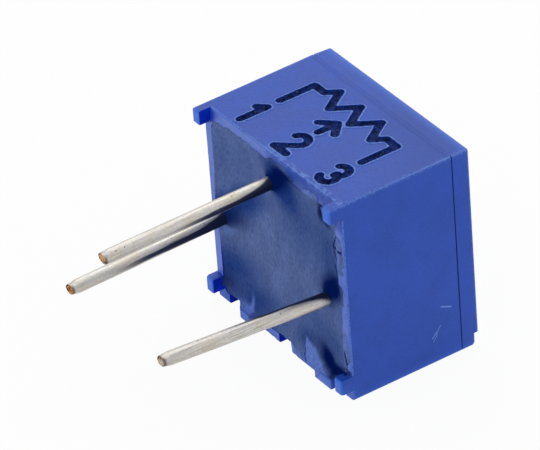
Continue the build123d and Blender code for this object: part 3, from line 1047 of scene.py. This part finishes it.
# Spots on the potting: Y, Z, two radii, the turn of the first radius from Y, and a strength
# Painted shadow: round the three leads, in the trough, in the slit by the top right foot and by the two low feet
SHADOW_SPOTS = (
    ((-0.06, 2.40, 1.02, 0.62, -32), 1.6),
    ((-0.58, 2.88, 1.20, 0.36, 8), 0.9),
    ((3.10, -0.24, 2.10, 0.68, -13), 1.3),
    ((-2.47, 0.02, 1.10, 0.68, -44), 1.3),
    ((-2.88, 0.36, 0.44, 0.50, 0), 0.7),
    ((-1.98, -2.72, 1.00, 0.62, 54), 1.25),
    ((-3.08, -2.40, 0.34, 0.17, -20), 1.3),
    ((-2.66, -2.74, 0.70, 0.30, -26), 1.1),
    ((-2.24, 2.52, 0.24, 0.58, 14), 2.2),
    ((-2.50, 2.20, 0.30, 0.24, 0), 0.8),
    ((2.92, -2.64, 0.66, 0.68, 0), 0.6),
)
# Painted shade over broad parts of the well, in its hollows and along its walls, with a band under the top lead
SHADE_SPOTS = (
    ((2.76, -2.00, 2.60, 1.40, -6), 0.95),
    ((1.40, -2.77, 2.50, 0.94, -23), 0.75),
    ((-1.17, 1.57, 2.30, 2.00, -70), 0.60),
    ((-2.55, 0.84, 1.10, 2.40, 4), 0.60),
    ((2.00, 0.54, 2.50, 0.76, -31), 1.15),
    ((-2.03, -2.02, 2.60, 1.25, 23), 0.55),
    ((-0.14, 2.49, 1.43, 0.96, 56), 1.20),
    ((2.10, 1.88, 2.60, 1.53, -12), 0.26),
    ((-0.91, -2.49, 0.90, 0.54, -19), 0.65),
)
# Thin resin over the plastic, paler
PALE_SPOTS = (
    ((-2.62, 2.72, 0.95, 0.34, -35), 0.45),
    ((-1.75, 2.92, 0.75, 0.26, -14), 0.6),
    ((-3.02, 1.50, 0.30, 1.25, 0), 0.65),
    ((-3.08, -1.60, 0.30, 1.20, 0), 0.75),
    ((-0.60, -3.20, 0.60, 0.34, 0), 0.8),
    ((1.95, -3.14, 0.70, 0.40, 0), 1.5),
    ((1.72, -2.92, 0.16, 0.70, 0), 0.8),
    # Painted highlight on the ridge below the lead at +Y
    ((2.62, -0.72, 0.60, 0.24, -28), 0.35),
)
OVERFLOW_SPOTS = (
    ((1.50, 2.86, 2.20, 0.30, 0), 1.3),
    ((-0.35, 2.94, 0.98, 0.34, 0), 1.6),
    ((-1.75, 2.90, 0.85, 0.22, -10), 0.9),
    ((-3.00, 1.50, 0.50, 1.15, 0), 1.1),
    ((-3.02, 0.15, 0.24, 0.75, 0), 0.9),
    ((-3.06, -1.70, 0.40, 1.10, 0), 1.1),
    ((1.65, -3.10, 0.70, 0.44, 0), 2.5),
    ((-1.20, -3.10, 1.00, 0.40, 0), 2.5),
)

# Cracks in the thin resin on the rim: two ends as Y and Z, and the half width
CRACKS = (
    ((-2.66, 1.59), (-3.24, 1.70), 0.060),
    ((-2.66, 1.59), (-2.93, 2.07), 0.050),
    ((-2.70, 1.54), (-2.86, 1.24), 0.050),
    ((-2.72, 0.98), (-2.90, 0.56), 0.060),
    ((-2.88, -1.32), (-3.05, -1.76), 0.055),
    ((-3.05, -1.76), (-3.20, -2.30), 0.065),
    ((-0.97, -2.81), (-1.05, -3.20), 0.040),
)


def crack_at(y, z):
    """How deep a place lies in a crack, from 0 to 1."""
    deepest = 0.0
    place = Vector((y, z))
    for start, end, half in CRACKS:
        run = Vector(end) - Vector(start)
        share = min(max((place - Vector(start)).dot(run) / run.length_squared, 0.0), 1.0)
        gap = (place - Vector(start) - run * share).length
        deepest = max(deepest, soft_step(half, half * 0.3, gap))
    return deepest


def spread(y, z, spots, reach=1.0):
    """Sum of the spots at a place, from 0 to 1."""
    return min(sum(strength * patch(y, z, spot) for spot, strength in spots), reach)


# Upper edge of the thin tongue of resin over the lower rim, as two points in Y and Z
TONGUE_EDGE = ((-1.10, -2.49), (-2.40, -3.06))
TONGUE_SOFT = -0.02, 0.06
TONGUE_END_Y = -0.84, -1.02
TONGUE_RAGGED = 0.05


def tongue_at(y, z):
    """One on the tongue of resin that laps over the lower rim."""
    start, end = (Vector(point) for point in TONGUE_EDGE)
    run = (end - start).normalized()
    offset = Vector((y, z)) - start
    ragged = TONGUE_RAGGED * noise.noise(Vector((1.0, y * 4.0, z * 4.0)))
    below = run.x * offset.y - run.y * offset.x + ragged
    return soft_step(*TONGUE_SOFT, below) * soft_step(*TONGUE_END_Y, y)


class RESIN:
    """Heights along X, reaches and spots of the resin's surface."""
    DEPTH = 0.18
    CLIMB, CLIMB_LEFT, CLIMB_LOW_LEFT = 0.15, 0.04, 0.05
    CLIMB_REACH = 0.30
    LEFT = 2.2, 2.9
    LOW_LEFT = 3.0, -2.2, 1.6, 1.9, 0
    RIDGE, RIDGE_Z, RIDGE_HALF = 0.07, -0.15, 0.75
    CROWN, CROWN_HALF, CROWN_Z = 0.05, 0.55, (-0.5, 1.8)
    FOOT_SWELL, FOOT_SPOT = 0.14, (-2.55, 2.62, 1.10, 0.60, -38)
    TROUGH, TROUGH_SPOT = 0.06, (-2.02, -2.72, 0.85, 0.44, 54)
    SLIT, SLIT_SPOT = 0.22, (-2.22, 2.56, 0.15, 0.56, 14)
    TONGUE, TONGUE_WALL, TONGUE_Y, TONGUE_REACH = 0.05, 0.13, (-1.35, -1.75), 0.15
    LEAD_REACH = 0.15
    FILM = 0.016
    HIDDEN = 0.04
    MARGIN = 0.03
    RIPPLES = (0.016, 1.7), (0.006, 6.0)
    COVER_MOST = 2.0
    COVER_RIPPLES = (0.30, 4.0), (0.12, 13.0)
    COVERED = 0.30, 0.52
    CRACK_SHARE = 0.5
    DRIFT, DRIFT_SCALE = 0.10, 1.5
    TONGUE_PALE = 0.92


def potting_level(y, z):
    """Height of the resin's surface, as X, at a place in the well."""
    wall_gap = max(min(WALL_INNER_Y - abs(y), WALL_INNER_TOP - z, z - WALL_INNER_LOW), 0.0)
    climb = RESIN.CLIMB + RESIN.CLIMB_LEFT * soft_step(*RESIN.LEFT, y)
    climb -= RESIN.CLIMB_LOW_LEFT * patch(y, z, RESIN.LOW_LEFT)
    level = RIM_X + RESIN.DEPTH - climb * math.exp(-wall_gap / RESIN.CLIMB_REACH)
    level -= RESIN.RIDGE * math.exp(-((z - RESIN.RIDGE_Z) / RESIN.RIDGE_HALF) ** 2)
    level -= RESIN.CROWN * math.exp(-(y / RESIN.CROWN_HALF) ** 2) * soft_step(*RESIN.CROWN_Z, z)
    level -= RESIN.FOOT_SWELL * patch(y, z, RESIN.FOOT_SPOT)
    tongue = tongue_at(y, z)
    level += RESIN.TROUGH * patch(y, z, RESIN.TROUGH_SPOT) * (1.0 - tongue)
    by_wall = soft_step(*RESIN.TONGUE_Y, y) * math.exp(-wall_gap / RESIN.TONGUE_REACH)
    level -= tongue * (RESIN.TONGUE + RESIN.TONGUE_WALL * by_wall)
    level += RESIN.SLIT * patch(y, z, RESIN.SLIT_SPOT)
    for pin in BOARD_PINS:
        start, _ = lead_ends(pin)
        gap = math.hypot(y - start.y, z - start.z) - pin[PIN.SIZES][PIN.RADIUS]
        level -= (level - start.x) * math.exp(-max(gap, 0.0) / RESIN.LEAD_REACH)
    return level + ripples(Vector((0.0, y, z)), RESIN.RIPPLES)


class TRIMMER_OT_potting(bpy.types.Operator):
    """Models the resin that closes the well, climbs the leads and runs over parts of the rim"""
    bl_idname = "trimmer.potting"
    bl_label = "Potting"

    def execute(self, context):
        sizes = context.scene.trimmer_sizes
        bpy.ops.object.select_all(action="DESELECT")
        bpy.ops.mesh.primitive_grid_add(
            x_subdivisions=sizes.potting_steps, y_subdivisions=sizes.potting_steps, size=1.0,
            location=(0, 0, 0), rotation=(0, -math.pi / 2, 0))
        resin = context.view_layer.objects.active
        resin.name = "potting"
        resin.scale = (2 * (HOUSING_HIGH.z - RESIN.MARGIN), 2 * (HOUSING_HIGH.y - RESIN.MARGIN), 1.0)
        bpy.ops.object.transform_apply(location=True, rotation=True, scale=True)
        walls = self.wall_faces()
        backs = {}
        for vertex in resin.data.vertices:
            vertex.co.x, back = self.surface(walls, vertex.co.y, vertex.co.z)
            backs[self.key(vertex.co)] = back
        self.trim(resin, walls)
        self.close(resin, backs)
        drop_slivers(resin)
        self.paint(resin)
        resin.data.materials.append(potting_resin(context.scene.trimmer_colours))
        finish_piece(resin, "base", "potting", "epoxy_seal")
        return {"FINISHED"}

    @staticmethod
    def key(place):
        return round(place.y, 4), round(place.z, 4)

    @staticmethod
    def wall_faces():
        """A search tree of the CAD housing at work scale."""
        mesh = frame["nodes"]["housing"].data
        return bvhtree.BVHTree.FromPolygons(
            [vertex.co * WORK_SCALE for vertex in mesh.vertices], [face.vertices[:] for face in mesh.polygons])

    @staticmethod
    def rim_at(walls, y, z):
        """X of the rim under a place, or nothing over the well."""
        hit = walls.ray_cast(Vector((-1.0, y, z)), Vector((1.0, 0.0, 0.0)))[0]
        return hit.x if hit is not None and hit.x < SEAL_HIGH.x else None

    def surface(self, walls, y, z):
        """X of the resin's front and back at a place."""
        rim = self.rim_at(walls, y, z)
        if rim is None:
            return potting_level(y, z), SEAL_HIGH.x
        cover = spread(y, z, OVERFLOW_SPOTS, RESIN.COVER_MOST)
        cover += ripples(Vector((0.0, y, z)), RESIN.COVER_RIPPLES)
        film = soft_step(*RESIN.COVERED, cover)
        film -= RESIN.CRACK_SHARE * film * crack_at(y, z)
        return rim + RESIN.HIDDEN - (RESIN.HIDDEN + RESIN.FILM) * film, rim + 2 * RESIN.HIDDEN

    def trim(self, resin, walls):
        """Removes the faces that are hidden in the walls."""
        def buried(vertex):
            rim = self.rim_at(walls, vertex.co.y, vertex.co.z)
            return rim is not None and vertex.co.x > rim + RESIN.HIDDEN - SLIVER

        edit(resin)
        select_faces(resin, lambda face: all([buried(vertex) for vertex in face.verts]))
        bpy.ops.mesh.delete(type="FACE")
        close_edit()

    def close(self, resin, backs):
        """Gives the surface its depth, down to the board inside."""
        edit(resin)
        bpy.ops.mesh.select_all(action="SELECT")
        bpy.ops.mesh.extrude_region_move()
        mesh = bmesh.from_edit_mesh(resin.data)
        for vertex in mesh.verts:
            if vertex.select:
                vertex.co.x = backs[self.key(vertex.co)]
        bmesh.update_edit_mesh(resin.data)
        bpy.ops.mesh.dissolve_limited(angle_limit=FLAT_ANGLE)
        bpy.ops.mesh.select_all(action="SELECT")
        bpy.ops.mesh.normals_make_consistent(inside=False)
        close_edit()

    @staticmethod
    def paint(resin):
        """Stores the painted shade, the painted shadow with the cracks, and the paler thin film with its painted
        highlight at each point.
        """
        for name, spots in ((SHADE, SHADE_SPOTS), (SHADOW_AND_CRACKS, SHADOW_SPOTS), (PALE, PALE_SPOTS)):
            layer = resin.data.attributes.new(name, "FLOAT", "POINT")
            values = []
            for vertex in resin.data.vertices:
                y, z = vertex.co.y, vertex.co.z
                stir = Vector((3.0, y, z)) * RESIN.DRIFT_SCALE
                drift = [RESIN.DRIFT * noise.noise(stir + Vector((shift, 0.0, 0.0))) for shift in (0.0, 7.0)]
                value = spread(y + drift[0], z + drift[1], spots)
                # Painted shadow is kept off the tongue; the cracks take the same dark colour
                if name == SHADOW_AND_CRACKS:
                    value = max(value * (1.0 - tongue_at(y, z)), crack_at(y, z))
                elif name == PALE:
                    value = max(value, RESIN.TONGUE_PALE * tongue_at(y, z))
                values.append(value)
            layer.data.foreach_set("value", values)


# Bands of painted reflection along the leads, where the dark blue body shows in the metal: their angle from Y towards
# Z, half width at the potting, and share of the length
REFLECTION_BANDS = ((178.0, 41.0, 0.80), (189.0, 42.0, 0.62), (70.0, 38.0, 0.64))
BARE_TIPS = (1.0, 0.8, 0.25)
PINCH_TURNS = (75.0, 95.0, 80.0)


class WIRE:
    """Dents, painted reflection band and sheared end of a lead: lengths, angles in degrees, and shares of the lead's
    length.
    """
    CUTS = 60
    LONG_EDGE = 0.9
    BARE_REACH = 0.2
    BAND_CORE, BAND_FULL = 0.76, 0.6
    RING, RING_START = (0.7, 0.95), 0.97
    DENTED = 0.02, 0.98
    DENT_SHARE = 0.030
    BAND_TAPER = 0.6
    ROOT_ANGLE = 74.0
    ROOT_SHARE = 0.060
    WANDER_ANGLE = 6.0
    TIP_REACH = 0.05
    TIP_INSETS = 0.03, 0.05, 0.05
    PINCH = 0.30
    PINCH_START = 0.93
    SLANT = 0.12
    TORN = 0.065
    TORN_START = 0.985
    TIP_CROWN = 0.07
    TIP_SETBACK = 0.03


class TRIMMER_OT_leads(bpy.types.Operator):
    """Models the three tinned wires with their sheared ends"""
    bl_idname = "trimmer.leads"
    bl_label = "Leads"

    def execute(self, context):
        sizes = context.scene.trimmer_sizes
        colours = context.scene.trimmer_colours
        finishes = [tinned_wire(colours), bare_copper(colours)]
        for number, pin in enumerate(BOARD_PINS):
            self.wire(pin, number, sizes.wire_sides, finishes)
        return {"FINISHED"}

    def wire(self, pin, number, sides, finishes):
        """One lead: a cylinder with a ragged sheared end, carried on into the potting."""
        start, tip = lead_ends(pin)
        run = tip - start
        radius = pin[PIN.SIZES][PIN.RADIUS]
        bpy.ops.object.select_all(action="DESELECT")
        bpy.ops.mesh.primitive_cylinder_add(
            vertices=sides, radius=radius, depth=run.length, end_fill_type="NGON",
            location=(start + tip) / 2, rotation=run.to_track_quat("Z", "Y").to_euler())
        wire = bpy.context.view_layer.objects.active
        wire.name = "wire_" + pin["name"]
        bpy.ops.object.transform_apply(location=True, rotation=True, scale=True)
        edit(wire)
        select_faces(wire, lambda face: face.normal.x > END_FACING)
        bpy.ops.mesh.extrude_region_move()
        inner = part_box(pin["name"])[1].x * WORK_SCALE
        mesh = bmesh.from_edit_mesh(wire.data)
        for vertex in mesh.verts:
            if vertex.select:
                vertex.co.x = inner
        bmesh.update_edit_mesh(wire.data)
        self.dent(wire, start, run, radius, number)
        self.shear(wire, tip, run, radius, number)
        close_edit()
        for finish in finishes:
            wire.data.materials.append(finish)
        for face in wire.data.polygons:
            if face.normal.x < -0.5 and face.center.x < tip.x + WIRE.BARE_REACH:
                face.material_index = 1
        self.paint(wire, start, run, radius, number)
        finish_piece(wire, "base", "tinned_wire", pin["name"])

    @staticmethod
    def dent(wire, start, run, radius, number):
        """Splits the shank along its length and makes it slightly uneven."""
        bpy.ops.mesh.select_all(action="DESELECT")
        bpy.ops.mesh.select_mode(type="EDGE")
        mesh = bmesh.from_edit_mesh(wire.data)
        for edge in mesh.edges:
            edge.select_set(edge.calc_length() > run.length * WIRE.LONG_EDGE)
        bmesh.update_edit_mesh(wire.data)
        bpy.ops.mesh.subdivide(number_cuts=WIRE.CUTS)

        def push(vertex):
            along = (vertex.co - start).dot(run) / run.length_squared
            if WIRE.DENTED[0] < along < WIRE.DENTED[1]:
                out = (vertex.co - start - run * along).normalized()
                place = Vector((vertex.co.x * 0.8, vertex.co.y * 3.5, vertex.co.z * 3.5 + number * 5.0))
                vertex.co += out * radius * WIRE.DENT_SHARE * noise.noise(place)

        move_vertices(wire, push)

    @staticmethod
    def paint(wire, start, run, radius, number):
        """Stores the painted reflection band, wider at the root where the resin climbs, with the dark cut edge at the
        tip, and how bare the wire is at each point.
        """
        at, half, reach = REFLECTION_BANDS[number]
        reflection_and_edge_values = []
        for vertex in wire.data.vertices:
            along = (vertex.co - start).dot(run) / run.length_squared
            out = vertex.co - start - run * along
            gap = math.degrees(math.atan2(out.z, out.y)) - at
            gap = abs((gap + 180.0) % 360.0 - 180.0)
            outside = max(along, 0.0)
            width = half * (1.0 - WIRE.BAND_TAPER * min(outside / reach, 1.0))
            width += WIRE.ROOT_ANGLE * math.exp(-outside / WIRE.ROOT_SHARE)
            wander = WIRE.WANDER_ANGLE * noise.noise(Vector((vertex.co.x * 1.6, number * 3.0, 0.0)))
            band = soft_step(width, width * WIRE.BAND_CORE, gap + wander)
            band *= soft_step(reach, reach * WIRE.BAND_FULL, along)
            ring = soft_step(*WIRE.RING, out.length / radius) if along > WIRE.RING_START else 0.0
            reflection_and_edge_values.append(max(band, ring))
        count = len(reflection_and_edge_values)
        for name, values in ((REFLECTION_AND_CUT_EDGE, reflection_and_edge_values), (BARE, [BARE_TIPS[number]] * count)):
            layer = wire.data.attributes.new(name, "FLOAT", "POINT")
            layer.data.foreach_set("value", values)

    @staticmethod
    def shear(wire, tip, run, radius, number):
        """Insets the tip and leaves it slanted, torn and a little cupped."""
        bpy.ops.mesh.select_mode(type="FACE")
        bpy.ops.mesh.select_all(action="DESELECT")
        select_faces(
            wire, lambda face: face.normal.x < -END_FACING and face.calc_center_median().x < tip.x + WIRE.TIP_REACH)
        for thickness in WIRE.TIP_INSETS:
            bpy.ops.mesh.inset(thickness=thickness, depth=0.0)
        turn = math.radians(PINCH_TURNS[number])

        def tear(vertex):
            along = 1.0 + (vertex.co - tip).dot(run) / run.length_squared
            across = vertex.co - tip - run * (along - 1.0)
            share = across.y * math.cos(turn) + across.z * math.sin(turn)
            squeezed = WIRE.PINCH * soft_step(WIRE.PINCH_START, 1.0, along) * share
            vertex.co.y -= squeezed * math.cos(turn)
            vertex.co.z -= squeezed * math.sin(turn)
            if along > WIRE.TORN_START:
                place = Vector((number * 4.0, vertex.co.y * 9.0, vertex.co.z * 9.0))
                torn = max(WIRE.TORN * noise.noise(place), -WIRE.TIP_SETBACK)
                rounded = WIRE.TIP_CROWN * across.length_squared / radius ** 2
                vertex.co.x += WIRE.SLANT * (share + radius) + torn + rounded + WIRE.TIP_SETBACK

        move_vertices(wire, tear)


class TRIMMER_OT_adjuster(bpy.types.Operator):
    """Models the slotted adjuster"""
    bl_idname = "trimmer.adjuster"
    bl_label = "Adjuster"

    def execute(self, context):
        sizes = context.scene.trimmer_sizes
        knob = copy_of_node("adjuster_knob", "rotor")
        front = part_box("rotor")[1].x * WORK_SCALE
        soften_edges(knob, work(sizes.edge_softness), lambda at: at.x > front - NEAR)
        knob.data.materials.append(ivory_plastic(context.scene.trimmer_colours, front))
        finish_piece(knob, "adjuster", "ivory_plastic", "rotor")
        return {"FINISHED"}


class TRIMMER_OT_works(bpy.types.Operator):
    """Finishes the pieces inside the housing, which keep their CAD shapes"""
    bl_idname = "trimmer.works"
    bl_label = "Works inside"

    def execute(self, context):
        conductor = plain_finish("conductor_film", (0.62, 0.61, 0.58), 0.35, metallic=1.0)
        solder = plain_finish("solder", (0.64, 0.64, 0.64), 0.28, metallic=1.0)
        finishes = {
            "seal_ring": plain_finish("seal_rubber", (0.22, 0.05, 0.04), 0.7),
            "wiper_spring": plain_finish("spring_alloy", (0.70, 0.52, 0.30), 0.3, metallic=1.0),
            "substrate": plain_finish("ceramic", (0.80, 0.79, 0.75), 0.55, contrast=0.05),
            "resistance_track": plain_finish("resistance_film", (0.03, 0.03, 0.034), 0.4),
            **dict.fromkeys(("collector_track", "end_conductor_1", "end_conductor_3"), conductor),
            **dict.fromkeys(("solder_joint_1", "solder_joint_2", "solder_joint_3"), solder),
        }
        for name, finish in finishes.items():
            materials = frame["nodes"][name].data.materials
            materials.clear()
            materials.append(finish)
        return {"FINISHED"}


class TRIMMER_OT_stage(bpy.types.Operator):
    """Sets the floor, the light, the white background and the camera"""
    bl_idname = "trimmer.stage"
    bl_label = "Stage"

    def execute(self, context):
        stage = context.scene.trimmer_stage
        context.scene.view_settings.view_transform = "Standard"
        self.floor()
        self.world(context.scene, stage)
        self.lamp(context.scene, stage)
        self.camera(context.scene, stage)
        return {"FINISHED"}

    @staticmethod
    def seen_rays(tree):
        """One for the rays that look at the background: from the camera, a gloss or a glass."""
        rays = node(tree, "ShaderNodeLightPath").outputs
        kinds = ("Is Camera Ray", "Is Glossy Ray", "Is Transmission Ray")
        camera, gloss, glass = (Signal(tree, rays[kind]) for kind in kinds)
        return camera.most(gloss).most(glass)

    def floor(self):
        bpy.ops.object.select_all(action="DESELECT")
        bpy.ops.mesh.primitive_plane_add(size=FLOOR_SIZE, location=(0, 0, CAD_BOX[0].z))
        floor = bpy.context.view_layer.objects.active
        floor.name = "floor"
        material = bpy.data.materials.new("pale_floor")
        material.use_nodes = True
        tree = material.node_tree
        tree.nodes.clear()
        paper = node(tree, "ShaderNodeBsdfDiffuse", {"Color": tint(PAPER)})
        white = node(tree, "ShaderNodeEmission", {"Color": tint(WHITE), "Strength": 1.0})
        share = self.seen_rays(tree) * FLOOR_GLOW
        mixed = node(tree, "ShaderNodeMixShader", {0: share, 1: paper.outputs[0], 2: white.outputs[0]})
        node(tree, "ShaderNodeOutputMaterial", {"Surface": mixed.outputs[0]})
        floor.data.materials.append(material)

    def world(self, scene, stage):
        world = bpy.data.worlds.new("studio")
        scene.world = world
        world.use_nodes = True
        tree = world.node_tree
        tree.nodes.clear()
        strength = blend(tree, self.seen_rays(tree), tint(WHITE, stage.sky), tint(WHITE))
        light = node(tree, "ShaderNodeBackground", {"Color": strength, "Strength": 1.0})
        node(tree, "ShaderNodeOutputWorld", {"Surface": light.outputs[0]})

    def lamp(self, scene, stage):
        data = bpy.data.lights.new("softbox", "AREA")
        data.shape = "SQUARE"
        data.size = LAMP_SIZE
        data.energy = stage.lamp_power
        lamp = bpy.data.objects.new("softbox", data)
        scene.collection.objects.link(lamp)
        lamp.location = LAMP_PLACE
        lamp.rotation_euler = (-lamp.location).to_track_quat("-Z", "Y").to_euler()

    def camera(self, scene, stage):
        data = bpy.data.cameras.new("camera")
        data.lens = stage.lens
        data.sensor_width = SENSOR_WIDTH
        data.clip_start, data.clip_end = CAMERA_CLIP
        camera = bpy.data.objects.new("camera", data)
        scene.collection.objects.link(camera)
        back = Vector((
            math.sin(stage.azimuth) * math.cos(stage.elevation),
            -math.cos(stage.azimuth) * math.cos(stage.elevation),
            math.sin(stage.elevation)))
        turn = (-back).to_track_quat("-Z", "Y").to_matrix() @ Matrix.Rotation(stage.roll, 3, "Z")
        camera.matrix_world = Matrix.Translation(Vector(stage.aim) + back * stage.distance) @ turn.to_4x4()
        scene.camera = camera


class TRIMMER_PT_panel(bpy.types.Panel):
    """Lists the steps and their settings"""
    bl_idname = "TRIMMER_PT_panel"
    bl_label = "Trimmer potentiometer"
    bl_space_type = "VIEW_3D"
    bl_region_type = "UI"
    bl_category = "Trimmer"

    def draw(self, context):
        layout = self.layout
        for step in STEPS:
            layout.operator(step.bl_idname)
        for settings in (context.scene.trimmer_sizes, context.scene.trimmer_colours, context.scene.trimmer_stage):
            box = layout.box()
            for key in settings.__annotations__:
                box.prop(settings, key)


STEPS = (
    TRIMMER_OT_housing, TRIMMER_OT_potting, TRIMMER_OT_leads, TRIMMER_OT_adjuster, TRIMMER_OT_works,
    TRIMMER_OT_stage)
CLASSES = (TrimmerSizes, TrimmerColours, TrimmerStage, *STEPS, TRIMMER_PT_panel)


def register():
    for kind in CLASSES:
        bpy.utils.register_class(kind)
    bpy.types.Scene.trimmer_sizes = PointerProperty(type=TrimmerSizes)
    bpy.types.Scene.trimmer_colours = PointerProperty(type=TrimmerColours)
    bpy.types.Scene.trimmer_stage = PointerProperty(type=TrimmerStage)


def unregister():
    del bpy.types.Scene.trimmer_stage
    del bpy.types.Scene.trimmer_colours
    del bpy.types.Scene.trimmer_sizes
    for kind in reversed(CLASSES):
        bpy.utils.unregister_class(kind)


def main():
    register()
    for make_group in (make_place_group, make_grain_group, make_scratch_group, make_edge_group):
        make_group()
    bpy.ops.trimmer.housing()
    bpy.ops.trimmer.potting()
    bpy.ops.trimmer.leads()
    bpy.ops.trimmer.adjuster()
    bpy.ops.trimmer.works()
    bpy.ops.trimmer.stage()


if __name__ == "__main__":
    main()
